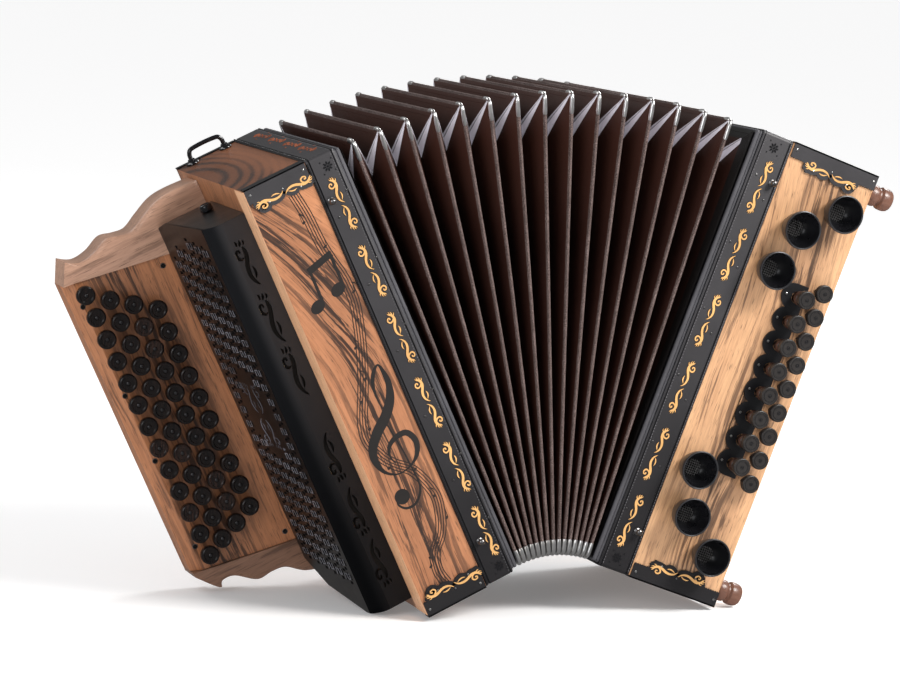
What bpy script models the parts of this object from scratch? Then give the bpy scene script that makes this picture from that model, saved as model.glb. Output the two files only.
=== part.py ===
"""Fanned diatonic button accordion: a treble case and a bass case joined by a fifteen-fold bellows.

Units are metres and +Z is up. The origin is on the ground plane, under the middle of the object's box.
Each case is modelled in its own box frame, in millimetres: u runs along the bellows axis (0 at the
bellows joint, negative outward on the treble side, positive outward on the bass side), v runs from
the front face (0, towards -Y) to the back face (DEPTH), and w runs up the case from its bottom
edge (0) to HEIGHT. The folds and both cases then lean along the fan, about the Y direction.
"""
import math
from collections import namedtuple

import bmesh
import bpy
import numpy
from mathutils import Matrix, Vector

for leftover in list(bpy.data.objects):
    bpy.data.objects.remove(leftover, do_unlink=True)

MM = 0.001
U, V, W = 0, 1, 2

# ---------------------------------------------------------------- shared dimensions, mm

HEIGHT = 350.0
DEPTH = 188.0
CASE_CENTRE_Y = 9.65
GAP = 0.3               # clearance between neighbouring pieces
OVERRUN = 3.0           # how far a cutter runs past the wall it goes through
CASE_WALL = 6.0
ACTION_WALL = 8.0       # outer wall of the treble case

# u of each case's outer face and of its joint with the bellows frame
TREBLE_OUTER = -79.0
TREBLE_JOINT = -29.0
BASS_OUTER = 109.5
BASS_JOINT = 32.6
TREBLE_CASE_INNER = TREBLE_JOINT - GAP
BASS_WALL_INNER = BASS_OUTER - CASE_WALL

BOARD_FRONT = 135.0     # v of the fingerboard's two faces
BOARD_BACK = 163.0
BOARD_OUTER = -205.0    # u of its free edge and of its edge beside the case
BOARD_INNER = TREBLE_OUTER - GAP
SCROLL_FRONT = BOARD_FRONT - 1.5

# A straight row of buttons; first (top) and last (bottom) are (u, w)
Row = namedtuple("Row", "count first last")
Buttons = namedtuple("Buttons", "cap_radius cap_thickness stem_radius rail_front rail_back")
STEM_CLEARANCE = 1.0

TREBLE_ROWS = {
    "a": Row(13, (-193.6, 305.8), (-188.7, 81.6)),
    "b": Row(12, (-178.3, 294.5), (-174.9, 88.9)),
    "c": Row(11, (-163.3, 283.5), (-160.0, 95.0)),
    "d": Row(10, (-147.9, 271.9), (-145.3, 101.9)),
}
TREBLE_BUTTONS = Buttons(cap_radius=7.3, cap_thickness=6.0, stem_radius=2.6,
                         rail_front=147.0, rail_back=150.5)
TREBLE_CAP_FRONT = 122.0

BASS_INNER_ROW = Row(8, (80.6, 242.1), (79.9, 106.5))
BASS_OUTER_ROW = Row(9, (96.8, 251.8), (95.9, 96.7))
BASS_BUTTONS = Buttons(cap_radius=7.0, cap_thickness=5.0, stem_radius=3.2,
                       rail_front=11.0, rail_back=14.0)

# ---------------------------------------------------------------- materials

Look = namedtuple("Look", "colour roughness metallic")
WALNUT = Look(colour=(0.42, 0.21, 0.10), roughness=0.45, metallic=0.0)
DARK = Look(colour=(0.03, 0.03, 0.035), roughness=0.5, metallic=0.2)
BLACK = Look(colour=(0.015, 0.015, 0.017), roughness=0.35, metallic=0.3)
STEEL = Look(colour=(0.6, 0.6, 0.62), roughness=0.25, metallic=1.0)
EBONY = Look(colour=(0.03, 0.02, 0.018), roughness=0.35, metallic=0.0)
LEATHER = Look(colour=(0.12, 0.05, 0.035), roughness=0.7, metallic=0.0)
SPRUCE = Look(colour=(0.65, 0.5, 0.3), roughness=0.6, metallic=0.0)


def material(name, look):
    made = bpy.data.materials.new(name)
    made.use_nodes = True
    shader = made.node_tree.nodes["Principled BSDF"]
    shader.inputs["Base Color"].default_value = (*look.colour, 1.0)
    shader.inputs["Roughness"].default_value = look.roughness
    shader.inputs["Metallic"].default_value = look.metallic
    return made


# ---------------------------------------------------------------- solids

SHARP_ANGLE = math.radians(35)


def object_from(name, bm):
    mesh = bpy.data.meshes.new(name)
    bm.to_mesh(mesh)
    bm.free()
    obj = bpy.data.objects.new(name, mesh)
    bpy.context.collection.objects.link(obj)
    return obj


def loft(name, loops, look=None, closed=False, smooth=False):
    """Skin equal-length point loops; cap the two ends unless the list closes on itself."""
    bm = bmesh.new()
    rings = [[bm.verts.new(Vector(point) * MM) for point in loop] for loop in loops]
    count = len(rings[0])
    pairs = list(zip(rings, rings[1:]))
    if closed:
        pairs.append((rings[-1], rings[0]))
    for low, high in pairs:
        for i in range(count):
            j = (i + 1) % count
            bm.faces.new((low[i], low[j], high[j], high[i]))
    if not closed:
        bm.faces.new(list(reversed(rings[0])))
        bm.faces.new(rings[-1])
    bmesh.ops.remove_doubles(bm, verts=bm.verts, dist=1e-7)
    bmesh.ops.recalc_face_normals(bm, faces=bm.faces)
    obj = object_from(name, bm)
    if look is not None:
        obj.data.materials.append(material(name + "_finish", look))
    if smooth:
        obj.data.shade_smooth()
        obj.data.set_sharp_from_angle(angle=SHARP_ANGLE)
    return obj


def at(u, v, w):
    """Case frame to the object's own axes, still in millimetres."""
    return (u, v - DEPTH / 2 + CASE_CENTRE_Y, w)


def along_axis(axis, distance, first, second):
    """Point at a distance along one case axis; first and second are the other two, in order."""
    coordinates = [first, second]
    coordinates.insert(axis, distance)
    return at(*coordinates)


def prism(name, axis, outline, start, end, look=None):
    """Straight prism along a case axis; the outline holds the other two coordinates."""
    return loft(name, [[along_axis(axis, distance, *point) for point in outline]
                       for distance in (start, end)], look)


def box(name, u, v, w, look=None):
    corners = ((u[0], v[0]), (u[1], v[0]), (u[1], v[1]), (u[0], v[1]))
    return prism(name, W, corners, *w, look)


def turned(name, axis, centre, profile, segments, look=None, phase=0.0, closed=False):
    """Turn a profile of (radius, distance along the axis) about a line parallel to a case axis."""
    angles = [2 * math.pi * (i + phase) / segments for i in range(segments)]
    loops = [[along_axis(axis, distance, centre[0] + radius * math.cos(angle),
                         centre[1] + radius * math.sin(angle)) for angle in angles]
             for radius, distance in profile]
    return loft(name, loops, look, closed=closed, smooth=True)


def bore(axis, centre, radius, start, end, segments):
    """Plain cylinder used as a cutter."""
    return turned("bore", axis, centre, ((radius, start), (radius, end)), segments)


def swept(name, path, section, look):
    """Sweep a section of (v, offset square to the path) along a path of (u, w)."""
    loops = []
    for i, (u, w) in enumerate(path):
        before, after = path[max(i - 1, 0)], path[min(i + 1, len(path) - 1)]
        along = Vector((after[0] - before[0], 0.0, after[1] - before[1])).normalized()
        side = along.cross(Vector((0.0, 1.0, 0.0)))
        loops.append([Vector(at(u, v, w)) + side * offset for v, offset in section])
    return loft(name, loops, look, smooth=True)


def clipped_loop(u, grow, corner):
    """Rectangular loop round the case section, grown outward, with its four corners cut off."""
    v0, v1 = -grow + corner, DEPTH + grow - corner
    w0, w1 = -grow + corner, HEIGHT + grow - corner
    points = []
    for v, w, start in ((v1, w1, 0), (v0, w1, 90), (v0, w0, 180), (v1, w0, 270)):
        for degrees in (start, start + 90):
            angle = math.radians(degrees)
            points.append(at(u, v + corner * math.cos(angle), w + corner * math.sin(angle)))
    return points


def join_meshes(pieces):
    """Gather closed shells that do not touch into one operand."""
    bm = bmesh.new()
    for piece in pieces:
        bm.from_mesh(piece.data)
        bpy.data.objects.remove(piece, do_unlink=True)
    return object_from("operand", bm)


def combine(target, pieces, operation):
    """Apply one exact Boolean with all the pieces at once, then drop them."""
    operand = join_meshes(pieces) if len(pieces) > 1 else pieces[0]
    step = target.modifiers.new("cut", "BOOLEAN")
    step.operation = operation
    step.solver = "EXACT"
    step.object = operand
    graph = bpy.context.evaluated_depsgraph_get()
    graph.update()
    result = bpy.data.meshes.new_from_object(target.evaluated_get(graph))
    target.modifiers.clear()
    target.data = result
    bpy.data.objects.remove(operand, do_unlink=True)
    bm = bmesh.new()
    bm.from_mesh(result)
    bmesh.ops.remove_doubles(bm, verts=bm.verts, dist=2e-6)
    bmesh.ops.dissolve_degenerate(bm, edges=bm.edges, dist=1e-6)
    bm.to_mesh(result)
    bm.free()


def cut(target, *pieces):
    combine(target, pieces, "DIFFERENCE")


def fuse(target, *pieces):
    combine(target, pieces, "UNION")


def keep_within(target, piece):
    combine(target, [piece], "INTERSECT")


# ---------------------------------------------------------------- the fan

FOLD_COUNT = 15
FOLD_PITCH = 3.837      # along the hinge arc, mm
FAN_ANGLE = 45.8        # between the two cases, degrees
TREBLE_LEAN = -25.4     # degrees from upright
ARC_MID_X = 39.69       # middle of the hinge arc, mm
ARC_MID_Z = 46.09

BASS_PLANE = FOLD_COUNT + 1
FOLD_ANGLE = math.radians(FAN_ANGLE / (FOLD_COUNT + 0.5))
ARC_RADIUS = FOLD_PITCH / FOLD_ANGLE
ARC_START = math.radians(TREBLE_LEAN)
ARC_MID = ARC_START + math.radians(FAN_ANGLE) / 2


def arc_point(angle):
    """A point of the bellows' bottom hinge arc, in millimetres."""
    return Vector((ARC_RADIUS * (math.sin(angle) - math.sin(ARC_MID)) + ARC_MID_X, 0.0,
                   ARC_RADIUS * (math.cos(angle) - math.cos(ARC_MID)) + ARC_MID_Z))


def plane_angle(k):
    """Lean of the treble case (0), a fold (1 to 15) or the bass case (16).

    The first gap is half a pitch.
    """
    return ARC_START + max(k - 0.5, 0.0) * FOLD_ANGLE


def hinge_point(k):
    """The hinge between plane k - 1 and plane k, midway along the arc."""
    return arc_point((plane_angle(k - 1) + plane_angle(k)) / 2)


def hinge_offset(k):
    """From hinge k to the arc point of plane k, in that plane's own axes, in millimetres."""
    angle = plane_angle(k)
    return Matrix.Rotation(-angle, 4, "Y") @ (arc_point(angle) - hinge_point(k))


def axis_empty(name, location, angle):
    empty = bpy.data.objects.new(name, None)
    empty.location = location * MM
    empty.rotation_euler = (0.0, angle, 0.0)
    bpy.context.collection.objects.link(empty)
    return empty


treble_axis = axis_empty("treble_axis", arc_point(ARC_START), plane_angle(0))
bass_axis = axis_empty("bass_axis", hinge_point(BASS_PLANE), plane_angle(BASS_PLANE))
BASS_SHIFT = hinge_offset(BASS_PLANE)


def set_origin(obj, point):
    """Move an object's origin to a point in its parent's axes, keeping the mesh in place."""
    shift = point * MM
    obj.data.transform(Matrix.Translation(-shift))
    obj.location = obj.location + shift


def on_treble(obj, origin=None):
    """Hang a piece on the treble axis; origin is (u, v, w)."""
    obj.parent = treble_axis
    if origin is not None:
        set_origin(obj, Vector(at(*origin)))


def on_bass(obj, origin=None):
    """Hang a piece on the last hinge; its mesh carries the offset from it."""
    obj.data.transform(Matrix.Translation(BASS_SHIFT * MM))
    obj.parent = bass_axis
    if origin is not None:
        set_origin(obj, Vector(at(*origin)) + BASS_SHIFT)


# ---------------------------------------------------------------- bellows folds

FOLD_THICKNESS = 3.1
FOLD_SETBACK = 1.0      # fold edge behind the case faces
FOLD_RIM = 24.0         # hole edge behind the case faces


def fold(k):
    """One thin rectangular ring, hung on its own hinge."""
    half = FOLD_THICKNESS / 2
    loops = [clipped_loop(-half, -FOLD_SETBACK, 5.0), clipped_loop(half, -FOLD_SETBACK, 5.0),
             clipped_loop(half, -FOLD_RIM, 1.5), clipped_loop(-half, -FOLD_RIM, 1.5)]
    piece = loft("fold_%02d" % k, loops, LEATHER, closed=True, smooth=True)
    piece.data.transform(Matrix.Translation(hinge_offset(k) * MM))
    piece.location = hinge_point(k) * MM
    piece.rotation_euler = (0.0, plane_angle(k), 0.0)


for index in range(1, FOLD_COUNT + 1):
    fold(index)


# ---------------------------------------------------------------- bellows frames and pins

FRAME_PROUD = 1.0       # frame surface outside the case faces
FRAME_RIM = 15.0        # frame opening inside the case faces
STRIP_END = 5.6         # distance of the gasket strip's outward end from u = 0
PIN_BORE_RADIUS = 1.9
# (u, w) of the upper and lower pins
TREBLE_PINS = ((-22.4, 316.3), (-20.6, 33.3))
BASS_PINS = ((27.0, 315.6), (26.1, 33.1))
# (radius, v) from the tail to the tip of the knob
PIN_PROFILE = [(1.6, 8.0)] + [(radius, -FRAME_PROUD - forward) for radius, forward in (
    (1.6, 0.3), (2.6, 0.3), (2.6, 1.2), (1.5, 1.6), (2.6, 2.4), (3.0, 3.9), (2.5, 5.4), (1.2, 6.3))]


def bellows_frame(name, joint, pins):
    """Dark band with a recessed gasket strip on the bellows side, bored for its front pins."""
    sign, width = math.copysign(1.0, joint), abs(joint)
    # (distance from u = 0, growth beyond the case section, corner size)
    stations = (
        (width, FRAME_PROUD - 0.6, 2.0), (width - 0.6, FRAME_PROUD, 2.4),
        (STRIP_END + 0.6, FRAME_PROUD, 2.4), (STRIP_END, FRAME_PROUD - 0.6, 2.0),
        (STRIP_END, -1.4, 2.0), (1.4, -1.4, 2.0), (0.6, -2.2, 2.0),
        (0.6, -FRAME_RIM, 1.0), (width, -FRAME_RIM, 1.0),
    )
    frame = loft(name, [clipped_loop(sign * u, grow, corner) for u, grow, corner in stations],
                 DARK, closed=True)
    cut(frame, *[bore(V, pin, PIN_BORE_RADIUS, -6.0, 9.0, 12) for pin in pins])
    return frame


for side, hang, joint, pins in (("treble", on_treble, TREBLE_JOINT, TREBLE_PINS),
                                ("bass", on_bass, BASS_JOINT - GAP, BASS_PINS)):
    hang(bellows_frame(side + "_bellows_frame", joint, pins))
    for level, pin in zip(("upper", "lower"), pins):
        hang(turned("%s_pin_%s" % (side, level), V, pin, PIN_PROFILE, 12, STEEL))


# ---------------------------------------------------------------- parts both cases share

PLATE_FRONT = -1.4
PLATE_RIM = 1.4         # how far the plate stands past the case's top or bottom
LIP_INSET = 0.01        # keeps the lip's faces just inside the plate's
LIP_V = (-1.0, 7.0)
PLATE_STEPS = 28


def corner_plate(name, u0, u1, top, lobes):
    """Thin plate over one end of a case's front face, folded over the edge.

    Its edge on the face is scalloped: a wide lobe at each u in lobes and a small point midway.
    """
    middle = sum(lobes) / 2
    edge = []
    for i in range(PLATE_STEPS + 1):
        u = u0 + (u1 - u0) * i / PLATE_STEPS
        reach = 10.5 + 1.6 * math.exp(-((u - middle) / 3.0) ** 2)
        reach += sum(7.2 * math.exp(-((u - lobe) / 5.0) ** 4) for lobe in lobes)
        edge.append((u, HEIGHT - reach if top else reach))
    rim = HEIGHT + PLATE_RIM if top else -PLATE_RIM
    outline = edge + [(u1, rim), (u0, rim)]
    if not top:
        outline.reverse()
    plate = prism(name, V, outline, PLATE_FRONT, -GAP, DARK)
    lip_end = PLATE_RIM - LIP_INSET
    lip_w = (HEIGHT + GAP, HEIGHT + lip_end) if top else (-lip_end, -GAP)
    fuse(plate, box("lip", (u0 + LIP_INSET, u1 - LIP_INSET), LIP_V, lip_w))
    return plate


def reed_block(name, outline, cell_u, cell_v):
    """Upright block of the given (u, v) outline, slotted across into a comb."""
    block = prism(name, W, outline, 40.0, 310.0, SPRUCE)
    bottoms = [62.0 + 32.0 * i for i in range(8)]
    cut(block, *[box("cell", cell_u, cell_v, (bottom, bottom + 4.0)) for bottom in bottoms])
    return block


def row_points(row):
    """Evenly spaced (u, w) of a row's buttons, from first to last."""
    (u0, w0), (u1, w1) = row.first, row.last
    steps = row.count - 1
    return [(u0 + (u1 - u0) * i / steps, w0 + (w1 - w0) * i / steps) for i in range(row.count)]


def stem_bores(row, buttons, start, end):
    radius = buttons.stem_radius + STEM_CLEARANCE
    return [bore(V, point, radius, start, end, 6) for point in row_points(row)]


def button_row(name, row, cap_front, buttons):
    """One row of capped stems carried by a common rail."""
    cap_back = cap_front + buttons.cap_thickness
    profile = ((buttons.stem_radius, buttons.rail_front + 1.5), (buttons.stem_radius, cap_back),
               (buttons.cap_radius, cap_back), (buttons.cap_radius, cap_front))
    stems = [turned("button", V, point, profile, 8, phase=0.5) for point in row_points(row)]

    half_width, overhang = 2.0, 4.0
    (u0, w0), (u1, w1) = row.first, row.last
    drift = (u0 - u1) / (w0 - w1) * overhang
    u_top, w_top = u0 + drift, w0 + overhang
    u_low, w_low = u1 - drift, w1 - overhang
    outline = ((u_top - half_width, w_top), (u_top + half_width, w_top),
               (u_low + half_width, w_low), (u_low - half_width, w_low))
    rail = prism(name, V, outline, buttons.rail_front, buttons.rail_back, EBONY)
    fuse(rail, *stems)
    return rail


# ---------------------------------------------------------------- treble case

PALLET_V = {"a": 46.0, "b": 68.0, "c": 90.0, "d": 112.0}    # centre of each slot and pallet
SLOT_W = (64.0, 286.0)
SLOT_HALF_WIDTH = 5.0
CAVITY_V = CAVITY_FRONT, CAVITY_BACK = (CASE_WALL, DEPTH - CASE_WALL)
CAVITY_W = (CASE_WALL, HEIGHT - CASE_WALL)
ACTION_INNER = TREBLE_OUTER + ACTION_WALL


def treble_case():
    """Box open towards the bellows, with four upright slots through its outer wall."""
    outline = ((TREBLE_OUTER, 4.0), (TREBLE_OUTER + 4.0, 0.0), (TREBLE_CASE_INNER, 0.0),
               (TREBLE_CASE_INNER, DEPTH), (TREBLE_OUTER + 1.5, DEPTH), (TREBLE_OUTER, DEPTH - 1.5))
    case = prism("treble_case", W, outline, 0.0, HEIGHT, WALNUT)
    cut(case, box("cavity", (ACTION_INNER, 0.0), CAVITY_V, CAVITY_W))
    cut(case, *[box("slot", (TREBLE_OUTER - 5.0, ACTION_INNER + 5.0),
                    (v - SLOT_HALF_WIDTH, v + SLOT_HALF_WIDTH), SLOT_W)
                for v in PALLET_V.values()])
    return case


on_treble(treble_case())
for end in ("top", "bottom"):
    on_treble(corner_plate("treble_plate_" + end, TREBLE_OUTER + 5.0, TREBLE_CASE_INNER - 0.6,
                           end == "top", (-68.0, -36.0)))

# the block tapers inward from the inner side of the action wall
TREBLE_REED_OUTLINE = ((ACTION_INNER + GAP, 52.0), (-20.0, 72.0), (-20.0, 104.0),
                       (ACTION_INNER + GAP, 124.0))
on_treble(reed_block("treble_reed_block", TREBLE_REED_OUTLINE, (-66.0, -10.0), (20.0, 160.0)))

BAIL_V = 177.5
BAIL_RADIUS = 1.7
BAIL_BASE = HEIGHT + 0.5
# (u, height above BAIL_BASE)
BAIL_PATH = (
    (-67.2, 0.0), (-67.2, 6.0), (-66.2, 9.0), (-63.5, 11.0), (-53.0, 11.6),
    (-42.6, 11.0), (-39.9, 9.0), (-38.9, 6.0), (-38.9, 0.0),
)
# (radius, w)
BAIL_BOSS = ((3.6, HEIGHT + GAP), (3.6, HEIGHT + 1.6), (2.4, HEIGHT + 2.6))


def treble_bail():
    """Wire bail on the top face, with a small boss round each leg."""
    angles = [2 * math.pi * i / 8 for i in range(8)]
    section = [(BAIL_V + BAIL_RADIUS * math.sin(angle), BAIL_RADIUS * math.cos(angle))
               for angle in angles]
    path = [(u, BAIL_BASE + height) for u, height in BAIL_PATH]
    bail = swept("treble_bail", path, section, BLACK)
    for u in (BAIL_PATH[0][0], BAIL_PATH[-1][0]):
        fuse(bail, turned("boss", W, (u, BAIL_V), BAIL_BOSS, 12))
    return bail


on_treble(treble_bail())


# ---------------------------------------------------------------- fingerboard

# (u, w) along the slanted joints between the board and the two scroll pieces
TOP_JOINT = ((-212.0, 317.2), (-196.8, 316.0), (-152.4, 309.2), (-123.5, 304.8), (-70.0, 298.4))
LOW_JOINT = ((-212.0, 73.2), (-194.5, 70.2), (-147.8, 62.7), (-118.3, 58.5), (-70.0, 51.5))


def joint_height(line, u):
    return float(numpy.interp(u, *zip(*line)))


def between_joints(u0, u1, margin):
    """Outline that follows both slanted ends of the board, kept a margin inside them."""
    stations = (u0, -194.5, -152.4, -120.0, u1)
    return ([(u, joint_height(TOP_JOINT, u) - margin) for u in stations]
            + [(u, joint_height(LOW_JOINT, u) + margin) for u in reversed(stations)])


def fingerboard():
    """Board beside the case, hollowed from the back and bored for the stems."""
    outline = ((BOARD_INNER, BOARD_FRONT), (-197.0, BOARD_FRONT), (BOARD_OUTER, BOARD_FRONT + 7.0),
               (BOARD_OUTER, BOARD_BACK), (BOARD_INNER, BOARD_BACK))
    board = prism("fingerboard", W, outline, 40.0, 330.0, WALNUT)
    slab = ([(u, w - GAP / 2) for u, w in TOP_JOINT]
            + [(u, w + GAP / 2) for u, w in reversed(LOW_JOINT)])
    keep_within(board, prism("slab", V, slab, BOARD_FRONT - 10.0, BOARD_BACK + 10.0))
    cut(board, prism("pocket", V, between_joints(-198.6, -112.0, 4.5),
                     BOARD_FRONT + 9.0, BOARD_BACK + 5.0))
    bores = []
    for row in TREBLE_ROWS.values():
        bores += stem_bores(row, TREBLE_BUTTONS, BOARD_FRONT - 2.0, BOARD_FRONT + 11.0)
    cut(board, *bores)
    return board


on_treble(fingerboard())
on_treble(prism("fingerboard_back", V, between_joints(-202.5, -106.0, 2.5),
                BOARD_BACK + GAP, BOARD_BACK + 2.6, WALNUT))

# (u, w) that the free edges of the scroll pieces pass through, from the outer end inward
UPPER_SCROLL = (
    (BOARD_OUTER + 8.5, 333.8), (-186.5, 328.6), (-174.0, 330.0), (-161.0, 335.6), (-150.0, 333.4),
    (-140.0, 332.6), (-128.0, 338.6), (-114.0, 345.0), (-100.0, 346.8), (BOARD_INNER, 346.0),
)
LOWER_SCROLL = (
    (BOARD_OUTER, 68.5), (-190.8, 52.6), (-186.0, 55.6), (-176.0, 54.4), (-161.0, 43.4),
    (-148.0, 43.6), (-137.0, 41.8), (-124.0, 32.0), (-108.0, 28.0), (BOARD_INNER, 27.0),
)
SCROLL_STEPS = 3


def smooth_through(points, steps):
    """Catmull-Rom curve through the points, ends held."""
    held = [points[0], *points, points[-1]]
    curve = []
    for spans in zip(held, held[1:], held[2:], held[3:]):
        for step in range(steps):
            t = step / steps
            curve.append(tuple(
                0.5 * (2 * start + (end - before) * t
                       + (2 * before - 5 * start + 4 * end - after) * t * t
                       + (3 * start - before - 3 * end + after) * t ** 3)
                for before, start, end, after in zip(*spans)))
    curve.append(points[-1])
    return curve


def scroll_piece(name, points, joint, top):
    """Thick ogee-outlined piece closing one end of the fingerboard, with an eased front edge."""
    half_gap = GAP / 2 if top else -GAP / 2
    seam = [(u, joint_height(joint, u) + half_gap)
            for u in (BOARD_INNER, -118.0, -152.0, -196.0, BOARD_OUTER)]
    curve = smooth_through(points, SCROLL_STEPS)
    # easing moves the free edge towards this height: up from below it, down from above it
    middle = joint_height(joint, -150.0)
    loops = []
    for v, ease in ((SCROLL_FRONT, 1.6), (BOARD_FRONT + 0.3, 0.0), (BOARD_BACK - 1.0, 0.0)):
        outline = [(u, w + (ease if w < middle else -ease)) for u, w in curve] + seam
        if top:
            outline.reverse()
        loops.append([at(u, v, w) for u, w in outline])
    return loft(name, loops, WALNUT)


on_treble(scroll_piece("scroll_upper", UPPER_SCROLL, TOP_JOINT, True))
on_treble(scroll_piece("scroll_lower", LOWER_SCROLL, LOW_JOINT, False))


# ---------------------------------------------------------------- treble buttons and pallets

for key, row in TREBLE_ROWS.items():
    on_treble(button_row("treble_buttons_" + key, row, TREBLE_CAP_FRONT, TREBLE_BUTTONS),
              origin=(row.first[0], BOARD_FRONT, row.first[1]))

PALLET_LAP = 6.0        # pallet beyond each end of its slot
# (distance outward from the seat, v from the pallet's centre)
PALLET_SECTION = ((0.0, -8.0), (0.0, 8.0), (1.6, 8.0), (3.4, 3.0), (3.4, -3.0), (1.6, -8.0))


def pallet_strip(name, centre):
    """Chamfered strip closing one slot from outside."""
    outline = [(TREBLE_OUTER - GAP - out, centre + v) for out, v in PALLET_SECTION]
    return prism(name, W, outline, SLOT_W[0] - PALLET_LAP, SLOT_W[1] + PALLET_LAP, SPRUCE)


for key, centre in PALLET_V.items():
    on_treble(pallet_strip("treble_pallets_" + key, centre),
              origin=(TREBLE_OUTER - GAP, centre, sum(SLOT_W) / 2))


# ---------------------------------------------------------------- treble cover

COVER_FRONT = 25.0
COVER_BOTTOM = 10.0
COVER_TOP = 331.0
COVER_SHEET = 1.8
COVER_SCREW = (-91.0, 86.0)     # (u, v)
# (radius, w)
SCREW_PROFILE = ((1.9, COVER_TOP - 6.0), (1.9, COVER_TOP + GAP), (4.6, COVER_TOP + GAP),
                 (4.6, COVER_TOP + 5.4), (3.8, COVER_TOP + 6.2))


def cover_blank(name, inset, reach, look=None):
    """Filled cover, its sheet faces moved in by inset and its open faces moved out by reach.

    The section has a front panel, a soft bend, then a long side panel back to the fingerboard.
    """
    open_u = BOARD_INNER + reach
    open_v = SCROLL_FRONT - GAP + reach
    section = (
        (open_u, COVER_FRONT + inset),
        (-98.0, COVER_FRONT - 0.6 + inset),
        (-103.5 + 0.4 * inset, COVER_FRONT + 0.8 + inset),
        (-108.0 + 0.7 * inset, COVER_FRONT + 5.4 + 0.7 * inset),
        (-111.3 + inset, COVER_FRONT + 12.0 + 0.3 * inset),
        (-121.2 + inset, open_v),
        (open_u, open_v),
    )
    # (v, w): flat ends with the rear corners cut back
    front, back = COVER_FRONT - 8.0, BOARD_FRONT + 6.0
    side = (
        (front, COVER_BOTTOM + inset), (COVER_FRONT + 18.0, COVER_BOTTOM + inset),
        (104.0, 23.0 + inset), (BOARD_FRONT, 44.0 + inset), (back, 46.0 + inset),
        (back, 325.0 - inset), (BOARD_FRONT, 325.5 - inset),
        (114.0, COVER_TOP - inset), (front, COVER_TOP - inset),
    )
    blank = prism(name, W, section, 0.0, 345.0, look)
    keep_within(blank, prism("ends", U, side, -60.0, -130.0))
    return blank


def treble_cover():
    """Bent-sheet cover in front of the pallets, bored through its top for a screw."""
    cover = cover_blank("treble_cover", 0.0, 0.0, BLACK)
    cut(cover, cover_blank("hollow", COVER_SHEET, 6.0))
    cut(cover, bore(W, COVER_SCREW, 2.4, COVER_TOP - 8.0, COVER_TOP + 4.0, 12))
    return cover


on_treble(treble_cover())
on_treble(turned("cover_screw", W, COVER_SCREW, SCREW_PROFILE, 16, BLACK),
          origin=(*COVER_SCREW, COVER_TOP))


# ---------------------------------------------------------------- bass case

# (u, w) of the horns, from the top down
HORNS = ((84.9, 313.2), (56.5, 290.2), (48.8, 254.8), (48.0, 93.5), (56.2, 58.2), (83.7, 34.6))
THROAT_BORE_RADIUS = 6.4
AIR = (62.0, 236.0)     # (v, w) of the air button and of the valve
VALVE = (62.0, 150.0)


def valve_rectangle(name, u, half_v, half_w, look=None):
    """Block centred on the valve."""
    v, w = VALVE
    return box(name, u, (v - half_v, v + half_v), (w - half_w, w + half_w), look)


def bass_case():
    """Box open towards the bellows, bored in front for horns and stems, and outside for air."""
    outline = ((BASS_JOINT, 0.0), (BASS_OUTER - 1.5, 0.0), (BASS_OUTER, 1.5),
               (BASS_OUTER, DEPTH - 1.5), (BASS_OUTER - 1.5, DEPTH), (BASS_JOINT, DEPTH))
    case = prism("bass_case", W, outline, 0.0, HEIGHT, WALNUT)
    cut(case, box("cavity", (0.0, BASS_WALL_INNER), CAVITY_V, CAVITY_W))
    start, end = -OVERRUN, CASE_WALL + OVERRUN
    holes = [bore(V, centre, THROAT_BORE_RADIUS, start, end, 12) for centre in HORNS]
    for row in (BASS_INNER_ROW, BASS_OUTER_ROW):
        holes += stem_bores(row, BASS_BUTTONS, start, end)
    cut(case, *holes)
    start, end = BASS_WALL_INNER - OVERRUN, BASS_OUTER + OVERRUN
    cut(case, bore(U, AIR, 3.2, start, end, 12), valve_rectangle("port", (start, end), 12.0, 30.0))
    return case


on_bass(bass_case())
for end in ("top", "bottom"):
    on_bass(corner_plate("bass_plate_" + end, BASS_JOINT + 1.0, BASS_OUTER - 0.5,
                         end == "top", (52.5, 88.5)))

BASS_REED_OUTLINE = ((16.0, 96.0), (BASS_WALL_INNER - 8.0, 88.0), (BASS_WALL_INNER - 8.0, 150.0),
                     (16.0, 142.0))
on_bass(reed_block("bass_reed_block", BASS_REED_OUTLINE, (10.0, 84.0), (80.0, 160.0)))

# Horn: a turned bowl with a throat tube that sits in the case front
HORN_RADIUS = 14.5
HORN_MOUTH = -GAP - 20.0
# (radius, v), round the outside and back down the bowl and throat
HORN_PROFILE = (
    (6.0, 9.0), (6.0, -GAP), (8.6, -GAP), (12.4, -GAP - 8.5), (14.2, -GAP - 15.0),
    (HORN_RADIUS, HORN_MOUTH), (HORN_RADIUS - 1.3, HORN_MOUTH), (10.6, -GAP - 8.5),
    (4.6, -GAP - 2.0), (4.6, 9.0),
)
for index, centre in enumerate(HORNS, start=1):
    on_bass(turned("horn_%d" % index, V, centre, HORN_PROFILE, 12, BLACK, closed=True))

LOBE_RADIUS = 10.3
LOBE_SHIFT = -3.0       # lobe centre towards the bellows from its button
PLATE_EDGE = 6.5        # straight edge outward from the buttons


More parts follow.
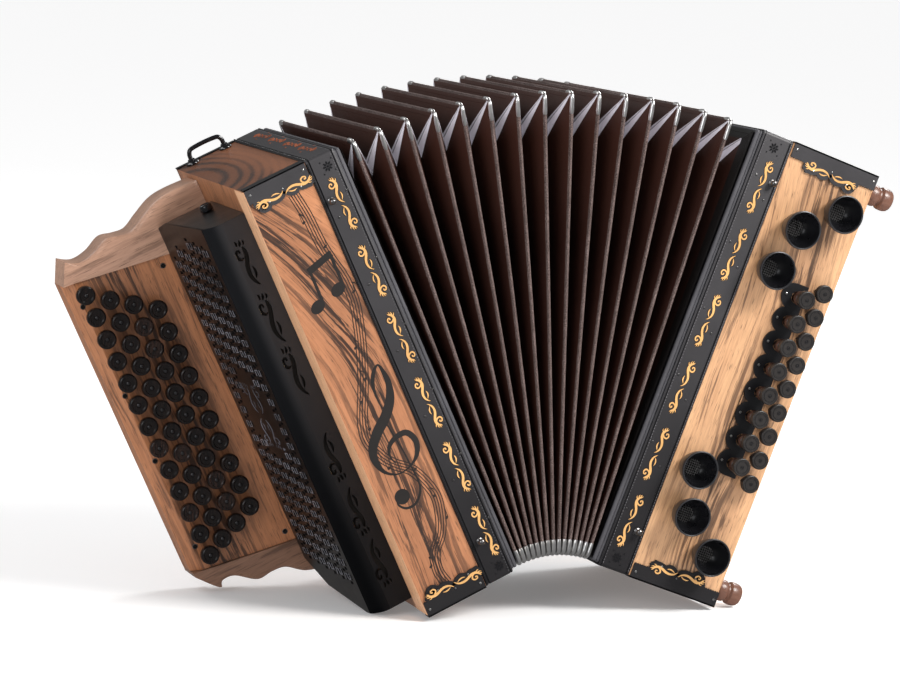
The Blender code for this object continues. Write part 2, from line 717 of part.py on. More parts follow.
def bass_button_plate():
    """Plate under the inner row: a lobe for each button, and a straight outward edge."""
    centres = row_points(BASS_INNER_ROW)
    (top_u, top_w), (low_u, low_w) = centres[0], centres[-1]
    last_index = len(centres) - 1
    half_pitch = (top_w - low_w) / last_index / 2
    cusp = math.asin(half_pitch / LOBE_RADIUS)
    outline = []
    for index, (u, w) in enumerate(centres):
        first = math.pi / 2 if index == 0 else math.pi - cusp
        last = math.pi + cusp if index < last_index else 3 * math.pi / 2
        for i in range(6):
            angle = first + (last - first) * i / 5
            outline.append((u + LOBE_SHIFT + LOBE_RADIUS * math.cos(angle),
                            w + LOBE_RADIUS * math.sin(angle)))
    outline += [(low_u + PLATE_EDGE, low_w - LOBE_RADIUS), (top_u + PLATE_EDGE, top_w + LOBE_RADIUS)]
    plate = prism("bass_button_plate", V, outline, -1.6, -GAP, BLACK)
    cut(plate, *stem_bores(BASS_INNER_ROW, BASS_BUTTONS, -4.0, 3.0))
    return plate


on_bass(bass_button_plate())
for label, row, cap_front in (("inner", BASS_INNER_ROW, -20.0), ("outer", BASS_OUTER_ROW, -12.0)):
    on_bass(button_row("bass_buttons_" + label, row, cap_front, BASS_BUTTONS),
            origin=(row.first[0], 0.0, row.first[1]))


# ---------------------------------------------------------------- on the bass outer face

# (v, w)
FEET = {"front_top": (8.5, 337.0), "front_bottom": (8.5, 12.5),
        "back_top": (176.0, 337.0), "back_bottom": (176.0, 12.5)}
# (radius, u)
FOOT_PROFILE = [(radius, BASS_OUTER + GAP + out) for radius, out in (
    (7.8, 0.0), (8.4, 6.5), (6.8, 8.4), (8.8, 10.4), (8.8, 17.0), (7.2, 19.5))]
for label, centre in FEET.items():
    on_bass(turned("foot_" + label, U, centre, FOOT_PROFILE, 12, WALNUT))

STRAP_SEAT = BASS_OUTER + 1.9   # u of the strap's middle surface at its ends
STRAP_BOW = 26.0
STRAP_STEPS = 16
# (v, offset square to the strap)
STRAP_SECTION = ((114.0, 1.5), (166.0, 1.5), (166.0, -1.5), (114.0, -1.5))


def hand_strap():
    """Leather band bowed off the outer face, its two ends lying along the case."""
    path = [(STRAP_SEAT, 22.0)]
    for i in range(STRAP_STEPS + 1):
        t = i / STRAP_STEPS
        path.append((STRAP_SEAT + STRAP_BOW * math.sin(math.pi * t) ** 1.3, 34.0 + 282.0 * t))
    path.append((STRAP_SEAT, 328.0))
    return swept("hand_strap", path, STRAP_SECTION, LEATHER)


on_bass(hand_strap())

# air button through the outer wall; (radius, u)
AIR_PROFILE = ((2.6, BASS_WALL_INNER - 10.0), (2.6, BASS_OUTER + 3.4), (7.0, BASS_OUTER + 3.4),
               (7.0, BASS_OUTER + 7.6), (6.0, BASS_OUTER + 8.6))
on_bass(turned("air_button", U, AIR, AIR_PROFILE, 16, STEEL), origin=(BASS_OUTER, *AIR))

# air valve closing the port from inside
on_bass(valve_rectangle("air_valve", (BASS_WALL_INNER - 4.0, BASS_WALL_INNER - GAP),
                        16.0, 34.0, LEATHER),
        origin=(BASS_WALL_INNER, *VALVE))
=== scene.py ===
"""Looks of a fanned button accordion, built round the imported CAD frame.

The treble case (-X) and the bass case (+X) lean apart on a fan of 16 bellows pleats. Lengths are
millimetres in each case's own box frame: u along the bellows axis, v from the front face (0, facing
-Y) to the back (188), w up the case (0 to 350). They become metres when a mesh is made.
"""
import bpy
import bmesh
import math
import random
from mathutils import Matrix, Vector
from mathutils.geometry import delaunay_2d_cdt
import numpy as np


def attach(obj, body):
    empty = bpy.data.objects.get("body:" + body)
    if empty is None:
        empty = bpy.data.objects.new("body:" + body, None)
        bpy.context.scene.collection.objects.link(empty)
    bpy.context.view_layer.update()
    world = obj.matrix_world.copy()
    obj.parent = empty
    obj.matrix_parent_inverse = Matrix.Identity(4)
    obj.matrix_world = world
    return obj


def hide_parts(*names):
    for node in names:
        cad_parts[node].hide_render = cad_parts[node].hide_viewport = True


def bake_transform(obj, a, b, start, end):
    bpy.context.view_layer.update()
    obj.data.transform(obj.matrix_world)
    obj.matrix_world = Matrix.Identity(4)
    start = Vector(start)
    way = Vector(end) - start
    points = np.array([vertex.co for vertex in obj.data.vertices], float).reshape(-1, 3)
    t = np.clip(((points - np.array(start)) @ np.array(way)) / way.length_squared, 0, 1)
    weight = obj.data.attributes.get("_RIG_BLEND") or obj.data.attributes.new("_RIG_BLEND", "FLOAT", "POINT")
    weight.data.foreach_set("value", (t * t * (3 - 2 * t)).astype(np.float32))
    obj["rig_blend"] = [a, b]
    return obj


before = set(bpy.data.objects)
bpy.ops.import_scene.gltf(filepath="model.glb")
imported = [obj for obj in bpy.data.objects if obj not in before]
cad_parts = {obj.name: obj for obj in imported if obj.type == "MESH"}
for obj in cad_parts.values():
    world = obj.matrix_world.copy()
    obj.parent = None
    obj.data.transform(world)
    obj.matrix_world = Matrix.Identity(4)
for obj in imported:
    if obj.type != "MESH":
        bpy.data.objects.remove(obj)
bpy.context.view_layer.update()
random.seed(7)

MM = 0.001
DEPTH, HEIGHT = 188.0, 350.0
PLEATS = 16
LEAN = math.radians(-25.4)              # lean of the treble case
FAN = math.radians(45.8)                # angle between the two cases
PHI = FAN / (PLEATS - 0.5)              # one pleat; the first is half as wide
ARC = 3.837 / PHI                       # radius of the fan at w = 0
MID = LEAN + FAN / 2
ARC_X, ARC_Y, ARC_Z = 39.69, 9.65, 46.09
TREBLE_END, BASS_END = -79.3, 109.5     # u of the outer faces of the cases
OUTWARD = {"treble": -1.0, "bass": 1.0}  # sign of u away from the bellows


def arc_point(angle):
    return Vector((ARC * (math.sin(angle) - math.sin(MID)) + ARC_X, ARC_Y,
                   ARC * (math.cos(angle) - math.cos(MID)) + ARC_Z))


def plane_angle(k):
    return LEAN + max(k - 0.5, 0.0) * PHI


def frame_matrix(angle):
    return Matrix.Translation(arc_point(angle) * MM) @ Matrix.Rotation(angle, 4, "Y")


def in_plane(angle, u, v, w):
    """World millimetres of a point given in the box frame of the plane at this angle."""
    base = arc_point(angle)
    c, s = math.cos(angle), math.sin(angle)
    return Vector((base.x + u * c + w * s, base.y + v - DEPTH / 2, base.z - u * s + w * c))


def reference(case):
    """Empty that carries the texture space of a case."""
    empty = bpy.data.objects.new("ref_" + case, None)
    bpy.context.scene.collection.objects.link(empty)
    empty.matrix_world = MATRIX[case]
    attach(empty, case)
    return empty


MATRIX = {"treble": frame_matrix(plane_angle(0)), "bass": frame_matrix(plane_angle(PLEATS))}
REF_T = reference("treble")
REF_B = reference("bass")


# ------------------------------------------------------------------ shader node helpers

class Nodes:
    """Short ways to add nodes to a tree; values may be numbers, tuples or output sockets."""

    def __init__(self, tree):
        self.tree = tree

    def put(self, socket, value):
        if isinstance(value, bpy.types.NodeSocket):
            self.tree.links.new(value, socket)
        else:
            socket.default_value = (*value, 1.0) if socket.type == "RGBA" else value

    def node(self, kind, inputs=None, **props):
        node = self.tree.nodes.new(kind)
        for key, value in props.items():
            setattr(node, key, value)
        for key, value in (inputs or {}).items():
            self.put(node.inputs[key], value)
        return node

    def math(self, operation, a, b=0.0, clamp=False):
        node = self.node("ShaderNodeMath", {0: a, 1: b}, operation=operation, use_clamp=clamp)
        return node.outputs[0]

    def map_range(self, value, from_min=0.0, from_max=1.0, to_min=0.0, to_max=1.0, smooth=False):
        return self.node("ShaderNodeMapRange", {0: value, 1: from_min, 2: from_max, 3: to_min, 4: to_max},
                         interpolation_type="SMOOTHSTEP" if smooth else "LINEAR").outputs[0]


class Mat(Nodes):
    def __init__(self, name):
        self.material = bpy.data.materials.new(name)
        self.material.use_nodes = True
        super().__init__(self.material.node_tree)
        self.shader = self.tree.nodes["Principled BSDF"]

    def coord(self, ref=None, kind="Object"):
        return self.node("ShaderNodeTexCoord", object=ref).outputs[kind]

    def vmul(self, a, b):
        return self.node("ShaderNodeVectorMath", {0: a, 1: b}, operation="MULTIPLY").outputs[0]

    def vadd(self, a, b):
        return self.node("ShaderNodeVectorMath", {0: a, 1: b}, operation="ADD").outputs[0]

    def split(self, vector):
        return self.node("ShaderNodeSeparateXYZ", {0: vector}).outputs

    def times(self, a, b, clamp=False):
        return self.math("MULTIPLY", a, b, clamp)

    def plus(self, a, b):
        return self.math("ADD", a, b)

    def minus(self, a, b):
        return self.math("SUBTRACT", a, b)

    def vary(self, value, gain, base):
        """gain * value + base."""
        return self.plus(self.times(value, gain), base)

    def plus_share(self, a, b, share):
        """a + share * b."""
        return self.plus(a, self.times(b, share))

    def noise(self, vector, scale=1.0, detail=3.0, rough=0.5, colour=False):
        node = self.node("ShaderNodeTexNoise", {"Vector": vector, "Scale": scale, "Detail": detail,
                                                "Roughness": rough})
        return node.outputs[1 if colour else 0]

    def voronoi(self, vector, scale, feature="F1"):
        return self.node("ShaderNodeTexVoronoi", {"Vector": vector, "Scale": scale},
                         feature=feature).outputs[0]

    def ramp(self, value, *stops):
        """Grey ramp between two (position, grey) stops."""
        node = self.node("ShaderNodeValToRGB", {"Fac": value})
        for element, (position, grey) in zip(node.color_ramp.elements, stops):
            element.position = position
            element.color = (grey, grey, grey, 1.0)
        return node.outputs[0]

    def mix(self, share, a, b):
        return self.node("ShaderNodeMix", {0: share, 6: a, 7: b}, data_type="RGBA").outputs[2]

    def shade(self, value, low, high, a, b):
        """Mix a and b by the ramp of a value between two stops."""
        return self.mix(self.ramp(value, low, high), a, b)

    def bump(self, height, strength, distance):
        return self.node("ShaderNodeBump", {"Height": height, "Strength": strength,
                                            "Distance": distance}).outputs[0]

    def attribute(self, name):
        return self.node("ShaderNodeAttribute", attribute_name=name).outputs["Fac"]

    def facing(self, axis):
        """1 where the surface looks along an axis, either way."""
        dot = self.node("ShaderNodeVectorMath", {0: self.coord(kind="Normal"), 1: axis},
                        operation="DOT_PRODUCT").outputs["Value"]
        return self.math("GREATER_THAN", self.math("ABSOLUTE", dot), 0.6)

    def lift(self, floor):
        """Painted light by height: 1 from the upper part of the object upwards, easing to floor at its foot,
        which puts painted shade low down.
        """
        return self.map_range(self.split(self.coord())[2], from_min=0.03, from_max=0.27,
                              to_min=floor, smooth=True)

    def out(self, colour, rough, normal, metallic=0.0, coat=0.0, sheen=0.0, spec=0.5):
        for key, value in (("Base Color", colour), ("Roughness", rough), ("Metallic", metallic),
                           ("Normal", normal), ("Coat Weight", coat), ("Sheen Weight", sheen),
                           ("Specular IOR Level", spec)):
            self.put(self.shader.inputs[key], value)
        return self.material


def tint(colour, *gains):
    """Colour times one gain, or one gain per channel."""
    return tuple(c * g for c, g in zip(colour, gains * (3 // len(gains))))


# ------------------------------------------------------------------ material kinds

STREAK_DARK = (0.035, 0.02, 0.015)


def core_band(m, base, raw, warp, lines, flank, bend, mid, core):
    """A darker, swaying band up the board; core is its (centre x, half width, strength)."""
    centre, half_width, strength = core
    across, _, height = m.split(m.vadd(raw, m.vmul(warp, (0.016, 0.016, 0.0))))
    sway = m.times(m.math("SINE", m.times(height, 19.0)), 0.006)
    rise = m.math("MAXIMUM", m.minus(height, 0.17), 0.0)
    sway = m.plus_share(sway, m.times(rise, rise), share=0.42 * bend)
    away = m.math("ABSOLUTE", m.minus(m.plus(across, sway), centre))
    inside = m.ramp(m.math("DIVIDE", away, half_width), (0.25, 1.0), (1.0, 0.0))
    inside = m.times(inside, m.minus(1.0, m.times(flank, 0.85)))
    band = m.times(inside, m.ramp(lines, (0.465, 1.0), (0.515, 0.0)))
    base = m.mix(m.times(inside, 0.42 * strength), base, tint(mid, 0.58, 0.58, 0.62))
    return m.mix(m.times(band, strength, clamp=True), base, STREAK_DARK)


def end_swirl(m, base, raw, up, mid, shift):
    """Ringed end grain on the faces that look up or down the case."""
    on_end = m.facing(up)
    spot = m.vmul(m.vadd(raw, (0.085 + shift, -0.015, 0.0)), (1.0, 0.40, 0.2))
    rings = m.node("ShaderNodeTexWave", {"Vector": spot, "Scale": 95.0, "Distortion": 3.2,
                                         "Detail": 2.0, "Detail Scale": 14.0},
                   wave_type="RINGS", rings_direction="SPHERICAL").outputs[1]
    along = m.times(m.plus(m.split(raw)[0], 0.079 + shift), 20.0)
    along = m.plus_share(along, m.noise(raw, scale=30.0, detail=2.0), share=0.35)
    fade = m.ramp(along, (0.55, 1.0), (0.95, 0.12))
    ground = m.mix(fade, tint(mid, 0.80, 0.74, 0.70), tint(mid, 0.44, 0.38, 0.32))
    rings = m.times(m.ramp(rings, (0.20, 1.0), (0.42, 0.0)), fade)
    return m.mix(on_end, base, m.mix(rings, ground, (0.028, 0.015, 0.011)))


def walnut(name, ref, seed, light, mid, streak, stretch=(1.0, 0.045), bend=0.0, rough=0.4,
           up=None, core=None, end_shift=0.0):
    """Figured wood: straight fibres, dark streaks gathered in zones, pores and an oil sheen.

    stretch scales the figure in x and z; up is the case's upward axis, for its end grain.
    """
    m = Mat(name)
    sx, sz = stretch
    raw = m.coord(ref)
    p = m.vadd(raw, (seed, seed * 0.37, seed * 0.61))
    flank = m.facing((up[2], 0.0, -up[0])) if up else 0.0
    if bend:
        rise = m.math("MAXIMUM", m.minus(m.split(raw)[2], 0.17), 0.0)
        shift = m.times(m.times(m.times(rise, rise), bend), m.minus(1.0, flank))
        p = m.vadd(p, m.node("ShaderNodeCombineXYZ", {0: shift}).outputs[0])
    warp = m.noise(m.vmul(p, (11.0 * sx ** 0.3, 11.0, 7.0)), detail=2.0, colour=True)
    warp = m.vadd(warp, (-0.5, -0.5, -0.5))
    q = m.vadd(p, m.vmul(warp, (0.020, 0.020, 0.012)))
    lines = m.noise(m.vmul(q, (290.0 * sx, 290.0, 200.0 * sz)), detail=5.0, rough=0.66)
    zones = m.noise(m.vmul(q, (34.0 * sx ** 0.8, 34.0, 34.0 * sz * 1.6)), detail=2.5)
    fine = m.noise(m.vmul(p, (900.0 * sx, 900.0, 900.0 * sz)), rough=0.6)
    pores = m.noise(m.vmul(p, (1500.0 * sx, 1500.0, 1500.0 * sz * 1.4)), detail=1.0)
    soft = tuple(a * 0.55 + b * 0.45 for a, b in zip(light, mid))
    base = m.shade(zones, (0.34, 0.0), (0.66, 1.0), soft, light)
    base = m.shade(lines, (0.34, 0.5), (0.60, 0.0), base, mid)
    mask = m.times(m.ramp(lines, (0.38, 1.0), (0.45, 0.0)), m.ramp(zones, (0.40, 1.0), (0.56, 0.06)))
    base = m.mix(m.times(mask, streak, clamp=True), base, STREAK_DARK)
    if core:
        base = core_band(m, base, raw, warp, lines, flank, bend, mid, core)
    if up:
        base = end_swirl(m, base, raw, up, mid, end_shift)
    base = m.shade(fine, (0.35, 0.30), (0.6, 0.0), base, tint(mid, 0.5, 0.45, 0.4))
    base = m.shade(pores, (0.28, 0.7), (0.36, 0.0), base, (0.05, 0.025, 0.015))
    height = m.plus_share(m.times(fine, 0.6), m.ramp(pores, (0.3, 0.0), (0.4, 1.0)), share=0.5)
    return m.out(base, m.vary(fine, gain=0.18, base=rough - 0.06),
                 m.bump(height, strength=0.35, distance=0.0002), coat=0.12)


def satin(name, colour, rough, metallic=0.0, grain=1200.0, bump=0.12, spread=0.12, coat=0.0,
          wear_and_glint=None, fade=None):
    """Fine-textured surface with broad tone variation (spread).

    wear_and_glint is the colour of pale specks: rubbed wear and flecks, and painted glints on the bright cut
    edges and lips; fade is the share of the colour left at the foot, painted shade that darkens the lower
    part.
    """
    m = Mat(name)
    p = m.coord()
    fine = m.noise(p, scale=grain, rough=0.6)
    tone = m.shade(m.noise(p, scale=22.0, rough=0.55), (0.3, 0.0), (0.7, 1.0),
                   tint(colour, 1 - spread), tint(colour, 1 + spread))
    if wear_and_glint:
        specks = m.noise(p, scale=140.0, detail=5.0, rough=0.7)
        tone = m.shade(specks, (0.66, 0.0), (0.78, 0.5), tone, wear_and_glint)
    shine = m.vary(m.noise(p, scale=60.0, detail=4.0, rough=0.6), gain=0.16, base=rough - 0.08)
    spec = 0.5
    # Painted shade by height: the colour darkens towards the foot, and its reflections with it.
    if fade:
        lift = m.lift(fade)
        tone = m.mix(lift, tint(colour, 0.12), tone)
        spec = m.times(lift, 0.5)
    return m.out(tone, shine, m.bump(fine, strength=bump, distance=0.0002),
                 metallic=metallic, coat=coat, spec=spec)


def bend_painted_shade(name):
    """Cover lacquer round the bend, with painted shade: near black at the side, easing into the tone of the
    front, and darker again low down.
    """
    m = Mat(name)
    p = m.coord(REF_T)
    # Painted shade round the curve: colour and reflections darken from the front towards the side.
    ease = m.map_range(m.split(p)[0], from_min=-0.1065, from_max=-0.0975, smooth=True)
    fine = m.noise(p, scale=1900.0, rough=0.6)
    tone = m.shade(m.noise(p, scale=22.0, rough=0.55), (0.3, 0.0), (0.7, 1.0),
                   (0.0055, 0.006, 0.008), (0.0065, 0.007, 0.009))
    tone = m.mix(ease, tone, COVER_COLOUR)
    # Painted shade towards the foot.
    lift = m.lift(0.2)
    tone = m.mix(lift, (0.0015, 0.0015, 0.0017), tone)
    shine = m.vary(m.noise(p, scale=60.0, detail=4.0, rough=0.6), gain=0.16, base=0.40)
    spec = m.times(m.vary(ease, gain=0.28, base=0.22), lift)
    return m.out(tone, shine, m.bump(fine, strength=0.10, distance=0.0002), spec=spec)


def leatherette(name, near, valley_shade, rough):
    """Bellows cloth: pebbled grain, going from the near colour at the noses to valley_shade, painted shade
    deepening into the folds, and lighter towards the top, painted light.
    """
    m = Mat(name)
    p = m.coord()
    # Painted shade: darker with fold depth.
    base = m.shade(m.attribute("depth"), (0.05, 0.0), (0.75, 1.0), near, valley_shade)
    blotch = m.noise(p, scale=35.0, detail=4.0, rough=0.6)
    base = m.shade(blotch, (0.35, 0.35), (0.7, 0.0), base, tint(near, 0.45))
    # Painted light: lighter towards the top of the bellows.
    base = m.shade(m.split(p)[2], (0.28, 0.0), (0.41, 0.5), base, tint(near, 2.3, 2.5, 2.3))
    grain = m.plus_share(m.voronoi(p, 1500.0), m.noise(p, scale=500.0, detail=4.0, rough=0.6), share=0.6)
    return m.out(base, m.vary(blotch, gain=0.25, base=rough - 0.12),
                 m.bump(grain, strength=0.25, distance=0.0003), spec=0.28)


def cloth_tape(name, colour, pale):
    """Woven cloth with pale threads."""
    m = Mat(name)
    p = m.coord()
    weave = m.plus(m.voronoi(p, 2100.0), m.noise(p, scale=900.0, detail=4.0, rough=0.7))
    threads = m.noise(p, scale=1300.0, detail=4.0, rough=0.7)
    base = m.shade(threads, (0.42, 0.0), (0.66, 1.0), colour, pale)
    base = m.shade(m.noise(p, scale=60.0), (0.35, 0.4), (0.65, 0.0), base, tint(colour, 0.6))
    return m.out(base, 0.6, m.bump(weave, strength=0.5, distance=0.0003), spec=0.3)


def metal(name, colour, rough):
    """Brushed metal."""
    m = Mat(name)
    p = m.coord()
    brushed = m.noise(m.vmul(p, (60.0, 60.0, 2400.0)), rough=0.6)
    shine = m.vary(m.noise(p, scale=180.0, detail=4.0, rough=0.6), gain=0.16, base=rough - 0.04)
    tone = m.shade(m.noise(p, scale=90.0, rough=0.6), (0.3, 0.2), (0.65, 0.0), colour, tint(colour, 0.7))
    return m.out(tone, shine, m.bump(brushed, strength=0.02, distance=0.00005), metallic=1.0)


def hide(name, colour, rough, scale, shaded_creases=False):
    """Leather; with shaded_creases, painted shade darkens it along the mesh's crease_shade attribute."""
    m = Mat(name)
    p = m.coord()
    cells = m.voronoi(p, scale, "DISTANCE_TO_EDGE")
    fine = m.noise(p, scale=1800.0, rough=0.6)
    broad = m.noise(p, scale=40.0, detail=4.0, rough=0.6)
    base = m.shade(broad, (0.3, 0.4), (0.7, 0.0), colour, tint(colour, 0.55))
    if shaded_creases:
        # Painted shade in the creases.
        line = m.plus_share(m.attribute("crease_shade"), m.noise(p, scale=160.0, detail=2.0), share=0.10)
        base = m.shade(line, (0.90, 0.0), (0.98, 0.8), base, tint(colour, 0.10))
    height = m.plus_share(m.ramp(cells, (0.0, 0.0), (0.12, 1.0)), fine, share=0.3)
    return m.out(base, m.vary(broad, gain=0.2, base=rough - 0.1),
                 m.bump(height, strength=0.35, distance=0.0003), sheen=0.1)


def ebony_wood(name, colour, brown, rough):
    """Turned dark caps; the attribute tone makes single caps browner."""
    m = Mat(name)
    fibre = m.noise(m.vmul(m.coord(), (1400.0, 300.0, 160.0)), detail=4.0, rough=0.6)
    tone = m.attribute("tone")
    lit = m.shade(fibre, (0.40, 0.0), (0.68, 1.0), colour, brown)
    base = m.mix(tone, m.mix(0.25, colour, lit), lit)
    return m.out(base, m.vary(fibre, gain=0.2, base=rough - 0.08),
                 m.bump(fibre, strength=0.1, distance=0.0002), spec=0.45)


# ------------------------------------------------------------------ materials

UP_T, UP_B = (-0.4289, 0.0, 0.9033), (0.3486, 0.0, 0.9373)
ACROSS = (0.05, 1.0)                    # stretch of wood whose grain runs across the case
WOOD_TREBLE = walnut("walnut_treble", REF_T, seed=0.13, light=(0.525, 0.222, 0.100),
                     mid=(0.36, 0.140, 0.060), streak=1.0, bend=2.1, core=(-0.053, 0.030, 1.0), up=UP_T)
WOOD_BASS = walnut("walnut_bass", REF_B, seed=0.71, light=(0.70, 0.41, 0.215),
                   mid=(0.46, 0.23, 0.115), streak=0.7, bend=0.6, core=(0.080, 0.026, 0.8), up=UP_B,
                   end_shift=-0.186)
WOOD_BOARD = walnut("walnut_board", REF_T, seed=0.42, light=(0.52, 0.21, 0.088),
                    mid=(0.31, 0.12, 0.052), streak=0.8, core=(-0.166, 0.036, 0.85))
WOOD_SCROLL = walnut("walnut_scroll", REF_T, seed=0.9, light=(0.54, 0.315, 0.215),
                     mid=(0.36, 0.20, 0.135), streak=0.35, stretch=ACROSS, rough=0.3)
# Darker copy of the scroll wood for the lower end of the board: painted shade.
WOOD_SCROLL_SHADED = walnut("walnut_scroll_painted_shade", REF_T, seed=1.7, light=(0.31, 0.165, 0.105),
                         mid=(0.20, 0.10, 0.062), streak=0.5, stretch=ACROSS, rough=0.34)
WOOD_FOOT = walnut("walnut_turned", REF_B, seed=1.3, light=(0.19, 0.088, 0.058),
                   mid=(0.12, 0.053, 0.036), streak=0.5, stretch=ACROSS, rough=0.32)
SPRUCE_T, SPRUCE_B = (
    walnut(name, ref, seed=seed, light=(0.72, 0.52, 0.30), mid=(0.62, 0.42, 0.22), streak=0.05, rough=0.6)
    for name, ref, seed in (("spruce_treble", REF_T, 2.1), ("spruce_bass", REF_B, 2.6)))
EDGE_WOOD = walnut("edging_wood", REF_T, seed=3.7, light=(0.86, 0.50, 0.29),
                   mid=(0.74, 0.40, 0.22), streak=0.0, rough=0.34)

COVER_COLOUR = (0.027, 0.025, 0.0275)
# fade paints shade on the lower part of the bands and corner plates.
CHARCOAL = satin("charcoal", (0.042, 0.0395, 0.043), rough=0.46, metallic=0.15, grain=1500.0,
                 bump=0.18, spread=0.10, fade=0.42)
BLACK = satin("black_satin", (0.0125, 0.0125, 0.0145), rough=0.36, metallic=0.2, grain=1600.0,
              bump=0.10, spread=0.10)
BLACK_GLOSS = satin("black_enamel", (0.008, 0.008, 0.010), rough=0.20, metallic=0.3, grain=900.0,
                    bump=0.04, spread=0.10, coat=0.4)
# fade paints shade on the lower part of the cover.
COVER_MAT = satin("cover_satin", COVER_COLOUR, rough=0.46, metallic=0.1, grain=1900.0, bump=0.10,
                  spread=0.10, fade=0.36)
COVER_SIDE = satin("cover_bronze_black", (0.018, 0.0135, 0.012), rough=0.34, metallic=0.35,
                   grain=1900.0, bump=0.10)
# Cut edges round the middle scrolls: pale bare metal, made brighter as painted highlight, with painted glint
# specks.
CUT_EDGE = satin("bright_cut_edge", (0.17, 0.17, 0.195), rough=0.35, metallic=0.3, grain=700.0,
                 bump=0.2, spread=0.6, wear_and_glint=(0.45, 0.45, 0.52))
# Painted shade: slot walls darker than the sheet's lacquer, so the slots read as dark openings.
SLOT_WALL_SHADE = satin("slot_wall_painted_shade", (0.006, 0.0055, 0.006), rough=0.5, grain=900.0, bump=0.1, spread=0.3)
# Painted highlight: pale strokes in each slotted cell stand in for light on the slot edges, with painted glint
# specks.
HIGHLIGHT_LIP = satin("painted_highlight_lip", (0.22, 0.22, 0.25), rough=0.32, metallic=0.3, grain=700.0, bump=0.2,
            spread=0.6, wear_and_glint=(0.50, 0.50, 0.57))
BEND = bend_painted_shade("cover_bend")
TRIM = satin("black_trim", (0.010, 0.010, 0.012), rough=0.30, metallic=0.3, grain=1400.0,
             bump=0.15, spread=0.2)
GASKET = satin("grey_gasket", (0.058, 0.056, 0.064), rough=0.62, grain=2200.0, bump=0.45,
               spread=0.25, wear_and_glint=(0.16, 0.15, 0.17))
GOLD = satin("gold_inlay", (0.70, 0.385, 0.135), rough=0.45, metallic=0.1, grain=1500.0)
EMBER = satin("copper_cutout", (0.36, 0.085, 0.024), rough=0.5, metallic=0.2, grain=1500.0,
              bump=0.2, spread=0.4)
BURNT = satin("burnt_engraving", (0.012, 0.009, 0.008), rough=0.75, grain=900.0, bump=0.6,
              spread=0.25, wear_and_glint=(0.06, 0.045, 0.035))
INK = satin("engraved_line", (0.020, 0.011, 0.008), rough=0.7, grain=1800.0, bump=0.3, spread=0.3)
BASS_CAP = satin("bass_caps", (0.023, 0.020, 0.019), rough=0.36)
# Painted shade: near black for screw slots, screw holes and the horn throats.
HOLE_SHADE = satin("painted_hole_shade", (0.004, 0.003, 0.003), rough=0.8, grain=900.0, bump=0.1, spread=0.1)
BRONZE = satin("bronze_cut_edge", (0.014, 0.009, 0.006), rough=0.55, metallic=0.2, grain=700.0,
               bump=0.5, spread=0.35, wear_and_glint=(0.11, 0.07, 0.035))
# Painted shade: near-black copy of the bell material for the inside of the bells.
HORN_INSIDE_SHADE = satin("horn_inside_painted_shade", (0.0065, 0.0065, 0.008), rough=0.28, grain=1500.0, bump=0.06, spread=0.10)
BELL = satin("horn_outside", (0.026, 0.026, 0.029), rough=0.34, metallic=0.1, grain=1500.0,
             bump=0.06, spread=0.10)
GAUZE = satin("throat_gauze", (0.20, 0.195, 0.195), rough=0.4, metallic=0.4, grain=1400.0,
              bump=0.1, spread=0.3)
STEEL = metal("polished_steel", (0.90, 0.89, 0.88), rough=0.27)
STEEL_DARK = metal("dark_steel", (0.30, 0.29, 0.29), rough=0.28)
STUD = metal("blued_stud", (0.13, 0.125, 0.13), rough=0.25)
PANEL = leatherette("bellows_cloth", near=(0.036, 0.0105, 0.0065), valley_shade=(0.009, 0.0030, 0.0023), rough=0.55)
# Near-black cloth for the end pleats: painted shade of the deep gap beside each case frame.
GAP_SHADE_CLOTH = leatherette("bellows_cloth_gap_shade", near=(0.008, 0.007, 0.007),
                          valley_shade=(0.005, 0.0045, 0.0045), rough=0.5)
# The pale threads are partly the tape's own fleck and partly painted highlight along the fold ridges.
TAPE = cloth_tape("binding_tape", (0.045, 0.025, 0.021), pale=(0.27, 0.20, 0.185))
THREAD = cloth_tape("thread", (0.10, 0.095, 0.10), pale=(0.26, 0.25, 0.27))
FELT = cloth_tape("felt", (0.012, 0.012, 0.013), pale=(0.05, 0.048, 0.05))
GUSSET = hide("white_gusset_leather", (0.72, 0.685, 0.755), rough=0.6, scale=260.0, shaded_creases=True)
STRAP = hide("black_strap_leather", (0.022, 0.018, 0.016), rough=0.42, scale=380.0)
EBONY = ebony_wood("ebony_caps", (0.0045, 0.0036, 0.0038), brown=(0.034, 0.016, 0.011), rough=0.22)
STEM = ebony_wood("brown_stems", (0.05, 0.022, 0.015), brown=(0.14, 0.06, 0.038), rough=0.35)


# ------------------------------------------------------------------ mesh helpers

def ease(obj, width):
    """Small two-step bevel on the hard edges."""
    bevel = obj.modifiers.new("ease", "BEVEL")
    bevel.width = width * MM
    bevel.segments = 2
    bevel.limit_method = "ANGLE"
    bevel.angle_limit = math.radians(40)


def point_attribute(mesh, name, values):
    mesh.attributes.new(name, "FLOAT", "POINT").data.foreach_set("value", values)


